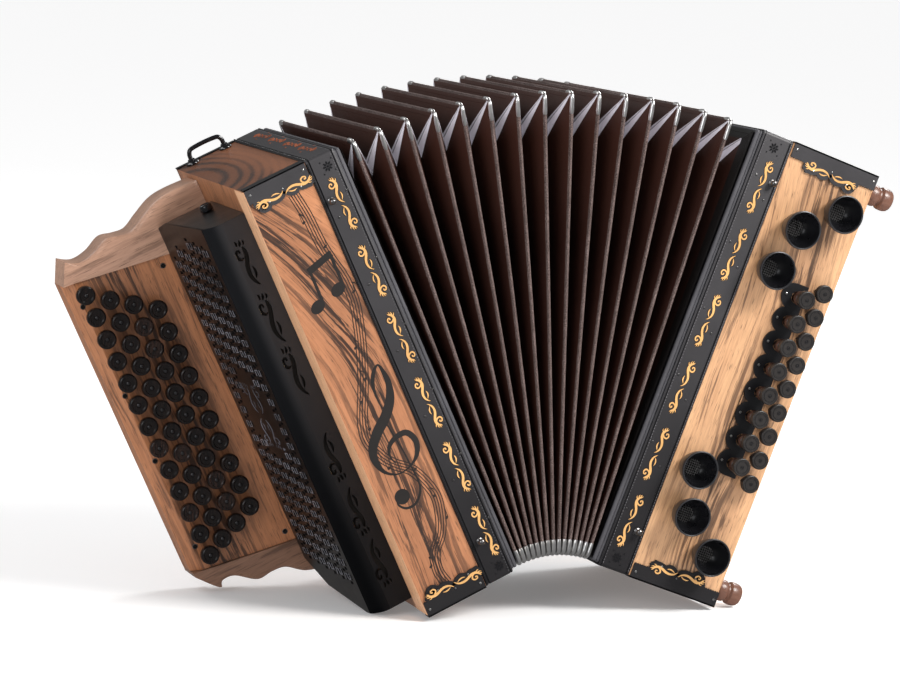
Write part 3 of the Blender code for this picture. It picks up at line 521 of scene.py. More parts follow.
def piece(name, parts, mats, case=None, body=None, replaces=None, sharp=35.0):
    """One object from (verts, faces, material index or indices, optional tone) parts.

    With a case, verts are in its box frame and the piece rides it unless a body is given;
    without one they are world millimetres.
    """
    verts, faces, index, tones = [], [], [], []
    for points, polygons, mat, *tone in parts:
        base = len(verts)
        if case:
            verts += [MATRIX[case] @ Vector((u * MM, (v - DEPTH / 2) * MM, w * MM)) for u, v, w in points]
        else:
            verts += [Vector(p) * MM for p in points]
        faces += [tuple(i + base for i in f) for f in polygons]
        index += mat if isinstance(mat, list) else [mat] * len(polygons)
        tones += (tone or [0.0]) * len(points)
    mesh = bpy.data.meshes.new(name)
    mesh.from_pydata(verts, [], faces)
    for m in mats:
        mesh.materials.append(m)
    mesh.polygons.foreach_set("material_index", index)
    if any(tones):
        point_attribute(mesh, "tone", tones)
    mesh.update()
    bm = bmesh.new()
    bm.from_mesh(mesh)
    bmesh.ops.recalc_face_normals(bm, faces=bm.faces)
    bm.to_mesh(mesh)
    bm.free()
    mesh.shade_smooth()
    mesh.set_sharp_from_angle(angle=math.radians(sharp))
    obj = bpy.data.objects.new(name, mesh)
    bpy.context.scene.collection.objects.link(obj)
    if body or case:
        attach(obj, body or case)
    if replaces:
        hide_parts(replaces)
    return obj


def loft(loops, closed=False):
    """Skin over loops of equal length: joined end to start, or capped at both ends."""
    verts = [p for loop in loops for p in loop]
    faces = []
    n, count = len(loops[0]), len(loops)
    for a in range(count if closed else count - 1):
        b = (a + 1) % count
        for i in range(n):
            j = (i + 1) % n
            faces.append((a * n + i, a * n + j, b * n + j, b * n + i))
    if not closed:
        faces.append(tuple(reversed(range(n))))
        faces.append(tuple((count - 1) * n + i for i in range(n)))
    return verts, faces


def circle(count):
    """Points evenly round the unit circle."""
    return [(math.cos(t), math.sin(t)) for t in (2 * math.pi * i / count for i in range(count))]


def smooth_path(points, steps=6):
    """Catmull-Rom through tuples of any length."""
    ends = [points[0], *points, points[-1]]
    out = []
    for quad in zip(ends, ends[1:], ends[2:], ends[3:]):
        for s in range(steps):
            t = s / steps
            out.append(tuple(
                0.5 * (2 * b + (c - a) * t + (2 * a - 5 * b + 4 * c - d) * t * t
                       + (3 * b - a - 3 * c + d) * t ** 3) for a, b, c, d in zip(*quad)))
    out.append(tuple(points[-1]))
    return out


def direction(path, i):
    """Unit direction of a flat path at point i."""
    a, b = path[max(i - 1, 0)], path[min(i + 1, len(path) - 1)]
    dx, dy = b[0] - a[0], b[1] - a[1]
    length = math.hypot(dx, dy) or 1.0
    return dx / length, dy / length


def interpolate(table, x):
    """y at x between the rows of an (x, y) table."""
    for (a, ya), (b, yb) in zip(table, table[1:]):
        if x <= b:
            return ya + (yb - ya) * (x - a) / (b - a)
    return table[-1][1]


def flanks(points, steps, least):
    """Both edges of a band along (x, y, half width) points."""
    path = smooth_path(points, steps)
    left, right = [], []
    for i, (x, y, half) in enumerate(path):
        dx, dy = direction(path, i)
        half = max(half, least)
        left.append((x - dy * half, y + dx * half))
        right.append((x + dy * half, y - dx * half))
    return left, right


def stroke(points, place, height, steps=6, sink=0.0):
    """A tapering flat stroke along (x, y, half width) points, standing height above the surface."""
    return loft([[place(*l, height), place(*r, height), place(*r, -sink), place(*l, -sink)]
                 for l, r in zip(*flanks(points, steps, 0.03))])


def disc(x, y, radius, place, height, segments, sink=0.0, squash=1.0, turn=0.0):
    c, s = math.cos(turn), math.sin(turn)
    ring = [(radius * a, radius * squash * b) for a, b in circle(segments)]
    ring = [(x + a * c - b * s, y + a * s + b * c) for a, b in ring]
    return loft([[place(a, b, h) for a, b in ring] for h in (-sink, height)])


def turned(x, y, profile, place, segments=32, closed=False):
    """Turn (radius, height) about the surface normal at (x, y)."""
    return loft([[place(x + r * c, y + r * s, h) for c, s in circle(segments)] for r, h in profile],
                closed=closed)


def any_turn():
    return random.random() * 3


def screw(x, y, place, radius, height, turn, mat=0):
    """Domed head in material mat, with a straight slot in the next one, a dark bar of painted shade for its
    recess.
    """
    head = turned(x, y, [(radius, -0.3), (radius, height * 0.35), (radius * 0.86, height * 0.75),
                         (radius * 0.5, height), (radius * 0.06, height * 1.05)], place, 14)
    c, s = math.cos(turn), math.sin(turn)
    long, wide = radius * 0.8, radius * 0.13
    corners = [(x + a * c - b * s, y + a * s + b * c)
               for a, b in ((-long, -wide), (long, -wide), (long, wide), (-long, wide))]
    slot = loft([[place(a, b, height * k) for a, b in corners] for k in (0.8, 1.07)])
    return [(*head, mat), (*slot, mat + 1)]


# Places put flat (x, y) and a height h on a face, itself standing out by `out`.

def front(out=0.0):
    return lambda x, y, h: (x, -out - h, y)


def back(out):
    return lambda x, y, h: (x, DEPTH + out + h, y)


def top(out=0.0):
    return lambda x, y, h: (x, y, HEIGHT + out + h)


def bottom(out):
    return lambda x, y, h: (x, y, -out - h)


def bass_end(out=0.0):
    return lambda x, y, h: (BASS_END + out + h, x, y)


# one leafy S-scroll, tail near the origin and head up y: lines of (x, y, half width)
SCROLL = (
    ((1.9, 0.5, 0.10), (0.5, 1.5, 0.42), (-1.1, 3.6, 0.80), (-1.75, 6.6, 1.02), (-1.2, 9.6, 1.12),
     (0.0, 12.2, 1.20), (0.75, 14.6, 1.25), (0.55, 16.9, 1.15), (-0.6, 18.7, 0.95),
     (-2.2, 19.6, 0.55), (-3.1, 20.7, 0.08)),
    ((0.6, 16.2, 0.55), (-1.0, 14.1, 0.66), (-3.1, 13.5, 0.72), (-4.5, 15.1, 0.66),
     (-3.9, 17.0, 0.60), (-2.5, 16.9, 0.55), (-2.5, 15.7, 0.62)),
    ((-0.2, 18.2, 0.62), (0.2, 19.7, 0.5), (-0.4, 21.2, 0.08)),
    ((0.7, 17.4, 0.5), (1.7, 18.5, 0.45), (1.9, 19.9, 0.08)),
    ((-1.6, 19.2, 0.6), (-1.4, 20.5, 0.42), (-1.9, 21.6, 0.08)),
    ((1.3, 9.2, 0.06), (1.9, 7.4, 0.50), (1.75, 5.4, 0.58), (0.9, 3.6, 0.32), (0.3, 2.8, 0.06)),
)


def scroll_pair(x, y, place, sx, sy, layers):
    """Two scrolls tail to tail; layers are (height, widening, sink, steps, material)."""
    parts = []
    widen = 0.84 * (0.5 + 0.5 * abs(sx))
    for way in (1, -1):
        for height, grow, sink, steps, mat in layers:
            for i, line in enumerate(SCROLL):
                points = [(x + a * sx * way, y + b * sy * way, half * widen + grow) for a, b, half in line]
                parts.append((*stroke(points, place, height + 0.004 * i, steps, sink), mat))
    return parts


# ------------------------------------------------------------------ wood that stays as packed

def dress(node, mat, width):
    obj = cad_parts[node]
    obj.data.materials.clear()
    obj.data.materials.append(mat)
    obj.data.shade_smooth()
    obj.data.set_sharp_from_angle(angle=math.radians(35))
    ease(obj, width)


# node, material, bevel width
for row in (("treble_case", WOOD_TREBLE, 0.5), ("bass_case", WOOD_BASS, 0.5),
            ("fingerboard", WOOD_BOARD, 0.5), ("fingerboard_back", WOOD_BOARD, 0.4),
            ("treble_reed_block", SPRUCE_T, 0.3), ("bass_reed_block", SPRUCE_B, 0.3),
            ("treble_pallets_a", SPRUCE_T, 0.2), ("treble_pallets_b", SPRUCE_T, 0.2),
            ("treble_pallets_c", SPRUCE_T, 0.2), ("treble_pallets_d", SPRUCE_T, 0.2),
            ("air_valve", FELT, 0.3)):
    dress(*row)


def edge_strip(name, section, foot, head, wood):
    """Upright strip with a (u, v) section along the treble case's front outer edge."""
    loops = [[(u, v, w) for u, v in section] for w in (foot, 20, 120, 220, 320, head)]
    piece(name, [(*loft(loops), 0)], [wood], "treble")


edge_strip("treble_front_filler", [(-79.35, 0.1), (-79.2, -0.06), (-74.2, -0.12), (-74.2, 0.3),
                                   (-78.9, 4.6), (-79.25, 4.6)], 0.0, HEIGHT, WOOD_TREBLE)
edge_strip("treble_edging", [(-79.2, 0.25), (-79.55, 0.45), (-79.6, 1.0), (-79.6, 24.4), (-79.2, 24.6)],
           0.4, HEIGHT - 0.4, EDGE_WOOD)


# ------------------------------------------------------------------ bellows frames

BAND_OUT = 1.0                          # how far the bands stand out from the case
BAND_JOINT = {"treble": 29.0, "bass": 32.3}  # distance of the case joint
# band section: distance, growth past the case, corner radius, material of the strip that follows
BAND_FROM_JOINT = ((0.0, 0.3, 2.2, 0), (0.5, 0.85, 2.6, 0), (1.0, 1.0, 2.8, 0), (1.9, 1.0, 2.8, 1),
                   (2.2, 0.55, 2.5, 1), (2.9, 0.55, 2.5, 1), (3.2, 1.0, 2.8, 0))
BAND_FROM_FOLDS = (
    (8.2, 1.0, 2.8, 1), (7.9, 0.6, 2.5, 1), (7.5, 0.6, 2.5, 1), (7.2, 1.0, 2.8, 0),
    (6.4, 0.95, 2.7, 0), (5.8, 0.5, 2.3, 1), (5.6, -0.7, 2.0, 2), (5.2, -0.9, 2.0, 2),
    (4.2, -0.9, 2.0, 2), (3.9, -1.5, 2.0, 2), (3.5, -1.5, 2.0, 2), (3.2, -0.9, 2.0, 2),
    (1.7, -0.9, 2.0, 2), (1.1, -1.3, 2.0, 2), (0.6, -2.2, 2.0, 1), (0.6, -15.0, 1.0, 1))


def ring_loop(u, grow, radius, seg=4):
    """Rounded rectangle round the case section."""
    v0, v1, w0, w1 = radius - grow, DEPTH + grow - radius, radius - grow, HEIGHT + grow - radius
    points = []
    for v, w, start in ((v1, w1, 0), (v0, w1, 90), (v0, w0, 180), (v1, w0, 270)):
        for i in range(seg + 1):
            t = math.radians(start + 90.0 * i / seg)
            points.append((u, v + radius * math.cos(t), w + radius * math.sin(t)))
    return points


def band(case):
    joint = BAND_JOINT[case]
    profile = [(joint - back_off, *rest) for back_off, *rest in BAND_FROM_JOINT]
    profile += [*BAND_FROM_FOLDS, (joint, -15.0, 1.0, 1)]
    loops = [ring_loop(OUTWARD[case] * u, grow, radius) for u, grow, radius, _ in profile]
    index = [row[3] for row in profile for _ in loops[0]]
    piece(case + "_band", [(*loft(loops, closed=True), index)], [CHARCOAL, TRIM, GASKET],
          case, replaces=case + "_bellows_frame")


NUB = ((-1, -0.6), (-0.5, -1), (0.5, -1), (1, -0.6), (1, 0.6), (0.5, 1), (-0.5, 1), (-1, 0.6))


def nubs(u, pitch, half_u, half_run, height):
    """Small rounded lozenges evenly round the band."""
    parts = []
    for place, length in ((front(BAND_OUT), HEIGHT), (back(BAND_OUT), HEIGHT),
                          (top(BAND_OUT), DEPTH), (bottom(BAND_OUT), DEPTH)):
        count = int((length - 5.0) / pitch)
        for i in range(count + 1):
            run = 2.5 + (length - 5.0) * i / count
            loops = [[place(u + a * half_u * k, run + b * half_run * k, h) for a, b in NUB]
                     for k, h in ((1.0, -0.1), (0.55, height))]
            parts.append((*loft(loops), 0))
    return parts


band("treble")
band("bass")
piece("treble_bead_line", nubs(-28.2, pitch=1.75, half_u=0.75, half_run=0.72, height=0.75),
      [BLACK], "treble", sharp=60)
stitches = [part for u in (30.9, 8.9) for part in nubs(u, pitch=2.3, half_u=0.28, half_run=0.75, height=0.3)]
piece("bass_stitches", stitches, [THREAD], "bass", sharp=60)
piece("treble_stitches", nubs(-8.9, pitch=2.3, half_u=0.22, half_run=0.7, height=0.2),
      [THREAD], "treble", sharp=60)

# (u, w) of the scroll pairs on the bands
BAND_CENTRES = {
    "treble": ((-15.0, 310.6), (-14.6, 255.8), (-14.5, 201.1), (-14.7, 147.2), (-14.3, 93.1), (-13.7, 38.6)),
    "bass": ((18.9, 309.1), (18.7, 254.7), (18.1, 201.0), (18.0, 147.0), (17.6, 93.0), (17.3, 38.8))}
INLAY_LAYERS = ((0.10, 0.42, 0.2, 3, 1), (0.26, 0.0, 0.0, 5, 0))
FLAT_LAYER = ((0.16, 0.0, 0.0, 5, 0),)


def rosette(x, y, place):
    """Eight petals round a boss, with four dots at the corners."""
    parts = []
    for k in range(8):
        t = math.pi / 4 * k
        parts.append((*disc(x + 2.6 * math.cos(t), y + 2.6 * math.sin(t), 1.35, place, 0.18, 10,
                            squash=0.55, turn=t), 0))
    parts.append((*disc(x, y, 0.9, place, 0.3, 12), 0))
    for dx, dy in ((-4.6, -4.6), (4.6, -4.6), (4.6, 4.6), (-4.6, 4.6)):
        parts.append((*disc(x + dx, y + dy, 0.6, place, 0.18, 8), 0))
    return parts


def band_ornament(case):
    mirror = -OUTWARD[case]
    centres = BAND_CENTRES[case]
    middle = sum(c[0] for c in centres) / len(centres)
    faces = (front(BAND_OUT), back(BAND_OUT))
    gold, tops, screws = [], [], []
    for x, y in centres:
        for place in faces:
            gold += scroll_pair(x, y, place, mirror, 1.0, INLAY_LAYERS)
        for way in (1, -1):
            screws += screw(x + 6.5 * mirror * way, y + 8.0 * way, faces[0], 0.85, 0.45, any_turn())
    for v in (36.0, 74.0, 114.0, 152.0):
        for place in (top(BAND_OUT), bottom(BAND_OUT)):
            tops += scroll_pair(middle, v, place, 0.85 * mirror, 0.72, FLAT_LAYER)
            tops += [(*disc(middle + dx, v, 0.8, place, 0.16, 10), 0) for dx in (-5.5, 5.5)]
    rosettes = [part for w in (340.5, 9.0) for place in faces for part in rosette(middle, w, place)]
    piece(case + "_band_scrolls", gold, [GOLD, TRIM], case)
    piece(case + "_band_top_ornament", tops, [EMBER], case)
    piece(case + "_band_screws", screws, [STEEL_DARK, HOLE_SHADE], case)
    piece(case + "_rosettes", rosettes, [TRIM], case)


band_ornament("treble")
band_ornament("bass")

# turned pin: (radius before scaling, height)
PIN_PROFILE = ((1.6, -8.0), (1.6, 1.1), (3.1, 1.1), (3.25, 1.35), (3.1, 1.7), (2.3, 1.9), (1.5, 2.3),
               (1.45, 2.7), (1.9, 3.1), (2.5, 3.7), (2.85, 4.4), (2.95, 5.1), (2.8, 5.9), (2.3, 6.7),
               (1.5, 7.3), (0.6, 7.55))
PIN_SCALE = 0.88
for case, end, u, w in (("treble", "upper", -22.4, 316.3), ("treble", "lower", -20.6, 33.3),
                        ("bass", "upper", 27.0, 315.6), ("bass", "lower", 26.1, 33.1)):
    profile = [(r * PIN_SCALE, h) for r, h in PIN_PROFILE]
    piece(f"{case}_pin_{end}_turned", [(*turned(u, w, profile, front(), 28), 0)], [STEEL_DARK],
          case, replaces=f"{case}_pin_{end}", sharp=60)


# ------------------------------------------------------------------ corner plates and trims

def zigzag(u0, u1, v, teeth):
    """Serrated line along u, with teeth 0.8 deep."""
    return [(u0 + (u1 - u0) * i / teeth, v + (0.8 if i % 2 else 0.0)) for i in range(teeth + 1)]


PLATE_OUT = 1.4
PLATE_LAYERS = ((-0.03, 3.0, 1.1, 5, 0), (0.24, 0.0, 0.0, 5, 2))


def corner_plate(case, key, u0, u1, lobes, centre):
    """Lobed plate on the front face, turned over the case's top or bottom edge."""
    is_top = key == "top"
    side = 1.0 if is_top else -1.0

    def reach(u, extra):
        return (10.5 + 1.6 * math.exp(-((u - centre) / 3.0) ** 2)
                + sum(3.4 * math.exp(-((u - l) / 6.0) ** 4) for l in lobes)
                + extra + 0.35 * math.sin((u - centre) * 3.1))

    def from_edge(distance):
        return HEIGHT - distance if is_top else distance

    stations = [u0 + (u1 - u0) * i / 110 for i in range(111)]
    edge = from_edge(-1.1)
    loops = [[(u, v, from_edge(reach(u, shrink))) for u in stations] + [(u1, v, edge), (u0, v, edge)]
             for v, shrink in ((-0.3, 0.0), (-1.1, 0.0), (-PLATE_OUT, -0.3))]
    parts = [(*loft(loops), 0)]
    inner = zigzag(u0, u1, 7.0, 44)[::-1]
    lip = [[(u0, -PLATE_OUT, w), (u1, -PLATE_OUT, w)] + [(u, v, w) for u, v in inner]
           for w in (from_edge(-0.3), from_edge(-1.2), from_edge(-1.5))]
    parts.append((*loft(lip), 1))
    place = front(PLATE_OUT)
    parts += scroll_pair(from_edge(12.6), centre, lambda a, b, h: place(b, a, h),
                         0.95 * side * OUTWARD[case], 1.1, PLATE_LAYERS)
    for lobe in lobes:
        u = lobe + (3.0 if lobe < centre else -3.0)
        parts += screw(u, from_edge(14.4), place, 0.8, 0.5, any_turn(), 3)
    parts += screw(centre, from_edge(9.6), place, 0.7, 0.45, 0.4, 3)
    for u in (u0 + 3.0, u1 - 3.0):
        parts += screw(u, from_edge(4.0), place, 0.95, 0.5, any_turn(), 3)
    piece(f"{case}_corner_plate_{key}", parts, [CHARCOAL, TRIM, GOLD, STEEL, HOLE_SHADE],
          case, replaces=f"{case}_plate_{key}")


for key in ("top", "bottom"):
    corner_plate("treble", key, TREBLE_END, -29.9, lobes=(-68.0, -36.0), centre=-52.0)
    corner_plate("bass", key, 33.6, 109.0, lobes=(52.5, 88.5), centre=70.5)


def end_trim(case, u0, u1, teeth):
    """Black serrated trim along the back edge of the case's top and bottom."""
    edge = DEPTH + 0.3
    inner = zigzag(u0, u1, DEPTH - 5.0, teeth)[::-1]
    parts = []
    for levels in ((HEIGHT + 0.02, HEIGHT + 0.9), (-0.02, -0.9)):
        loops = [[(u0, edge, w), (u1, edge, w)] + [(u, v, w) for u, v in inner] for w in levels]
        parts.append((*loft(loops), 0))
    piece(case + "_end_trim", parts, [TRIM], case)


end_trim("treble", -79.0, -29.0, 40)
end_trim("bass", 33.0, 109.0, 60)


# ------------------------------------------------------------------ treble front engraving

# (u, w) down the middle of the winding staff
STAFF = ((-46, 333.1), (-43.1, 314.1), (-41.9, 293.1), (-39.5, 277), (-36.2, 260.5), (-35.9, 241.6),
         (-39.6, 224.6), (-44.7, 207.8), (-52, 187.9), (-57.4, 175.8), (-65.7, 157.8), (-68.6, 142.8),
         (-63.8, 127), (-56.9, 116.8), (-45.4, 104.9), (-37.9, 83.8), (-39.4, 68), (-45.3, 52.9),
         (-55.2, 41.3), (-58.5, 27.8), (-56.1, 15.9))
NOTE_OFFSETS = (-4.4, 1.75, -0.9, 4.6, 0.0)  # from the middle of the staff


def staff_engraving():
    middle = smooth_path(STAFF)

    def beside(i, offset, low, high):
        """Point beside the middle line, its u kept between low and high."""
        x, y = middle[i]
        dx, dy = direction(middle, i)
        return min(max(x - dy * offset, low), high), y + dx * offset

    parts = []
    for line in range(5):
        points = [(*beside(i, (line - 2) * 2.0, -73.6, -31.2), 0.38) for i in range(len(middle))]
        parts.append((*stroke(points, front(), 0.07, 1, 0.2), 0))
    for number, i in enumerate(range(7, len(middle) - 6, 7)):
        x, y = beside(i, NOTE_OFFSETS[number % 5], -71.0, -33.5)
        dy = direction(middle, i)[1]
        parts.append((*disc(x, y, 1.45, front(), 0.1, 14, 0.2, squash=0.7, turn=0.5), 0))
        stem = x + (1.2 if number % 2 else -1.2)
        line = [(stem, y, 0.22), (stem - dy * 0.1, y + 3.6, 0.22), (stem - dy * 0.4, y + 7.4, 0.2)]
        parts.append((*stroke(line, front(), 0.1, 2, 0.2), 0))
        if number % 3 == 0:
            flag = [(stem, y + 7.2, 0.5), (stem + 2.2, y + 5.6, 0.4), (stem + 2.7, y + 3.6, 0.08)]
            parts.append((*stroke(flag, front(), 0.1, 4, 0.2), 0))
    piece("treble_staff_engraving", parts, [INK], "treble")


# curl of the clef: (u, w, nominal width); wide parts are swelled when it is drawn
CLEF_CURL = (
    (-55.6, 116.9, 0.8), (-57.5, 123.1, 1.4), (-55.3, 130.2, 2.2), (-48.4, 134.4, 2.7),
    (-39.3, 134.3, 3.0), (-35, 125.9, 3.0), (-37.5, 116.7, 2.5), (-45.4, 110.2, 1.4),
    (-56.7, 108.5, 1.1), (-65.6, 114.2, 1.9), (-69.3, 124.6, 3.3), (-67.2, 134.7, 4.4),
    (-59.3, 144.1, 4.9), (-48.9, 152.3, 4.9), (-41, 161.7, 4.4), (-37.1, 171.6, 3.3),
    (-36.6, 180.2, 2.7), (-38.6, 190.1, 1.4), (-44.5, 185.6, 2.2), (-48.2, 177.1, 1.9),
    (-49.1, 167.2, 1.1), (-48.3, 158.7, 0.8))
# stem of the clef: (u, w, half width)
CLEF_STEM = ((-50.2, 146.9, 0.5), (-48.6, 135.7, 0.5), (-46.7, 122.8, 0.55), (-45.9, 109, 0.6),
             (-45.2, 96.6, 0.7), (-47.2, 88.6, 0.85), (-53.8, 82.2, 0.95), (-61.5, 82.1, 0.95),
             (-66.2, 87, 0.8), (-65.5, 91.9, 0.5))


def clef_engraving():
    """Treble clef, with a beamed pair of notes above it."""
    place = front()
    curl = [(x, y, (wide + max(0.0, wide - 1.2) * 0.85) / 2) for x, y, wide in CLEF_CURL]
    parts = [(*stroke(curl, place, 0.12, 7, 0.2), 0), (*stroke(CLEF_STEM, place, 0.14, 6, 0.2), 0),
             (*disc(-61.2, 91.6, 5.9, place, 0.13, 28, 0.2), 0)]
    for x, y in ((-62.5, 249.5), (-43.5, 254.5)):
        parts.append((*disc(x, y, 6.0, place, 0.13, 26, 0.2, squash=0.76, turn=0.42), 0))
        stem = [(x + 4.9, y + rise, 1.15) for rise in (1.0, 14.0, 28.5)]
        parts.append((*stroke(stem, place, 0.14, 2, 0.2), 0))
    beam = [(-58.7, 276.0, 2.6), (-48.0, 278.6, 2.6), (-37.5, 281.2, 2.6)]
    parts.append((*stroke(beam, place, 0.12, 2, 0.2), 0))
    piece("treble_clef_engraving", parts, [BURNT], "treble")


staff_engraving()
clef_engraving()


# ------------------------------------------------------------------ bellows

FOLD_INSET = 0.5                        # bellows inside the case outline
# tape over a fold and metal cap over its corners: (u, distance in from the bellows outline)
TAPE_SECTION = ((-0.5, 4.5), (-1.0, 2.2), (-1.18, 1.2), (-1.05, 0.4), (-0.6, 0.0), (0.0, -0.2),
                (0.6, 0.0), (1.05, 0.4), (1.18, 1.2), (1.0, 2.2), (0.5, 4.5))
CAP_SECTION = ((-1.75, 3.2), (-1.85, 1.4), (-1.65, 0.3), (-1.0, -0.5), (0.0, -0.75), (1.0, -0.5),
               (1.65, 0.3), (1.85, 1.4), (1.75, 3.2), (1.3, 3.4), (-1.3, 3.4))
CAP_RADIUS = 5.2


def corner_cap(angle, side, end, down, along):
    """Metal cap round one corner: side and end are the signs of v and w; arms down and along."""
    r = CAP_RADIUS
    cv = DEPTH / 2 + side * (DEPTH / 2 - FOLD_INSET - r)
    cw = HEIGHT / 2 + end * (HEIGHT / 2 - FOLD_INSET - r)
    # v, w and the outward direction there
    path = [(cv + side * r, cw - end * (down - r) * (1 - i / 6.0), side, 0.0) for i in range(6)]
    for i in range(9):
        t = math.pi / 2 * i / 8
        nv, nw = side * math.cos(t), end * math.sin(t)
        path.append((cv + r * nv, cw + r * nw, nv, nw))
    path += [(cv - side * (along - r) * i / 5.0, cw + end * r, 0.0, end) for i in range(1, 6)]
    loops = []
    for i, (v, w, nv, nw) in enumerate(path):
        full = {0: 0.35, 1: 0.82}.get(min(i, len(path) - 1 - i), 1.0)
        loops.append([in_plane(angle, u * (0.66 + 0.22 * full), v - nv * (e + (1 - full) * 0.5),
                               w - nw * (e + (1 - full) * 0.5)) for u, e in CAP_SECTION])
    return (*loft(loops), 0)


def nose(k):
    """Outer edge of fold k: its binding tape and four corner caps."""
    angle, body = plane_angle(k), f"fold_{k:02d}"
    loops = [[in_plane(angle, *p) for p in ring_loop(u, -FOLD_INSET - e, max(5.0 - e, 1.2), 5)]
             for u, e in TAPE_SECTION]
    piece(f"nose_{k:02d}", [(*loft(loops, closed=True), 0)], [TAPE], body=body,
          replaces=body, sharp=75)
    caps = [corner_cap(angle, side, end, down, along)
            for end, down, along in ((1, 16.5, 12.0), (-1, 12.5, 10.0)) for side in (-1, 1)]
    piece(f"corner_caps_{k:02d}", caps, [STEEL], body=body, sharp=75)


PANEL_WIDTH = 27.0                      # slant depth of the cloth from nose to valley
LEVELS = (0.0, 0.035, 0.14, 0.15, 0.36, 0.57, 0.78, 1.0)  # shares of the panel depth
RAISED = (0.035, 0.14)                  # levels of the raised strip
# sides of the ring: start corner, end corner (signs of v and w), strips, corner gap = a + b * share
RING_SIDES = (((1, 1), (-1, 1), 10, 0.6, 4.4), ((-1, 1), (-1, -1), 16, 0.8, 10.2),
              ((-1, -1), (1, -1), 10, 0.6, 4.4), ((1, -1), (1, 1), 16, 0.8, 10.2))


def pleat(k):
    """Folded cloth between plane k and plane k + 1, with white gussets beside each corner."""
    angles = (plane_angle(k), plane_angle(k + 1))
    middle = sum(angles) / 2
    wedge = angles[1] - angles[0]
    at_case = (k == 0, k == PLEATS - 1)

    def depth(w, share, start):
        half_gap = wedge * (w + 3.8 / PHI) / 2
        return start + (math.sqrt(PANEL_WIDTH ** 2 - half_gap ** 2) - start) * share

    def stations(share, start):
        """(v, w) points round the ring at a share of the panel depth."""
        def corner(side, end):
            e = FOLD_INSET + depth(HEIGHT if end > 0 else 0.0, share, start)
            return Vector((DEPTH / 2 + side * (DEPTH / 2 - e), HEIGHT / 2 + end * (HEIGHT / 2 - e)))

        points = []
        for a, b, count, gap, spread in RING_SIDES:
            pa, pb = corner(*a), corner(*b)
            length = (pb - pa).length
            along = (pb - pa) / length
            inset = gap + spread * share
            points.append(pa)
            points += [pa + along * (inset + (length - 2 * inset) * i / count) for i in range(count + 1)]
        return points

    def ring(share, side):
        start, edge = (2.4, 0.65) if at_case[side] else (0.8, 1.02)
        u = (edge + (0.22 if share in RAISED else 0.0)) * (1 - 2 * side)
        return [in_plane(angles[side], u, v, w).lerp(in_plane(middle, 0, v, w), share)
                for v, w in stations(share, start)]

    order = [(s, 0) for s in LEVELS] + [(s, 1) for s in reversed(LEVELS[:-1])]
    loops = [ring(*row) for row in order]
    weights = [1.0 - 0.5 * s if side else 0.5 * s for s, side in order]
    shares = [s for s, _ in order]
    outer = len(loops)
    # inner skin, 0.6 nearer the middle of the bellows
    centre = in_plane(middle, 0, DEPTH / 2, HEIGHT / 2)
    for j in (14, 11, 7, 3, 0):
        loops.append([p + (centre - p).normalized() * 0.6 for p in loops[j]])
        weights.append(weights[j])
        shares.append(1.0)

    gusset, corners = [], []
    for _, _, count, _, _ in RING_SIDES:
        gusset += [True] + [False] * count + [True]
        corners += [1.0] + [0.0] * (count + 1)
    index = []
    for a in range(len(loops)):
        skin = a < outer - 1
        share = min(shares[a], shares[a + 1]) if skin else 1.0
        half = 0 if a < len(LEVELS) - 1 else 1
        for in_gusset in gusset:
            # Beside each case frame the cloth is made near black, painted shade of the deep gap there.
            if skin and share < 0.36 and at_case[half]:
                index.append(3)
            elif share < 0.034:
                index.append(1)
            else:
                index.append(2 if skin and in_gusset else 0)

    obj = piece(f"pleat_{k:02d}", [(*loft(loops, closed=True), index)],
                [PANEL, TAPE, GUSSET, GAP_SHADE_CLOTH], sharp=28)
    point_attribute(obj.data, "depth", [s for s in shares for _ in gusset])
    # crease_shade marks the gusset corners, where painted shade darkens the white leather.
    point_attribute(obj.data, "crease_shade", corners * len(loops))
    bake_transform(obj, "treble" if at_case[0] else f"fold_{k:02d}",
             "bass" if at_case[1] else f"fold_{k + 1:02d}",
             in_plane(angles[0], 0, DEPTH / 2, HEIGHT / 2) * MM,
             in_plane(angles[1], 0, DEPTH / 2, HEIGHT / 2) * MM)
    blend = obj.data.attributes["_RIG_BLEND"]
    blend.data.foreach_set("value", [weight for weight in weights for _ in gusset])


for k in range(1, PLEATS):
    nose(k)
for k in range(PLEATS):
    pleat(k)


# ------------------------------------------------------------------ bail

BAIL_V, BAIL_RADIUS = 177.5, 1.75
BAIL_FEET = (-67.2, -38.9)
# (u, height over the case top)
BAIL_PATH = ((-67.2, 0.6), (-67.2, 4.0), (-67.0, 7.4), (-65.4, 10.3), (-62.0, 11.3), (-53.0, 11.7),
             (-44.0, 11.3), (-40.7, 10.3), (-39.1, 7.4), (-38.9, 4.0), (-38.9, 0.6))
BAIL_BASE = ((5.0, 0.3), (5.2, 0.7), (5.0, 1.3), (3.6, 1.8), (3.0, 2.4), (2.9, 3.6), (2.2, 4.2))


def bail():
    """Wire bow over the top of the treble case, on two screwed bases."""
    path = [Vector((u, BAIL_V, HEIGHT + h)) for u, h in smooth_path(BAIL_PATH, 5)]
    loops = []
    for i, p in enumerate(path):
        along = (path[min(i + 1, len(path) - 1)] - path[max(i - 1, 0)]).normalized()
        side = along.cross(Vector((0.0, 1.0, 0.0))).normalized()
        other = side.cross(along)
        loops.append([p + side * BAIL_RADIUS * c + other * BAIL_RADIUS * s for c, s in circle(16)])
    parts = [(*loft(loops), 0)]
    for u in BAIL_FEET:
        parts.append((*turned(u, BAIL_V, BAIL_BASE, top(), 24), 0))
        for dv in (-4.0, 4.0):
            parts += screw(u, BAIL_V + dv, top(0.6), 0.9, 0.6, 0.9, 1)
    piece("treble_bail_wire", parts, [BLACK_GLOSS, STEEL_DARK, HOLE_SHADE], "treble",
          replaces="treble_bail")


bail()


# ------------------------------------------------------------------ fingerboard ends

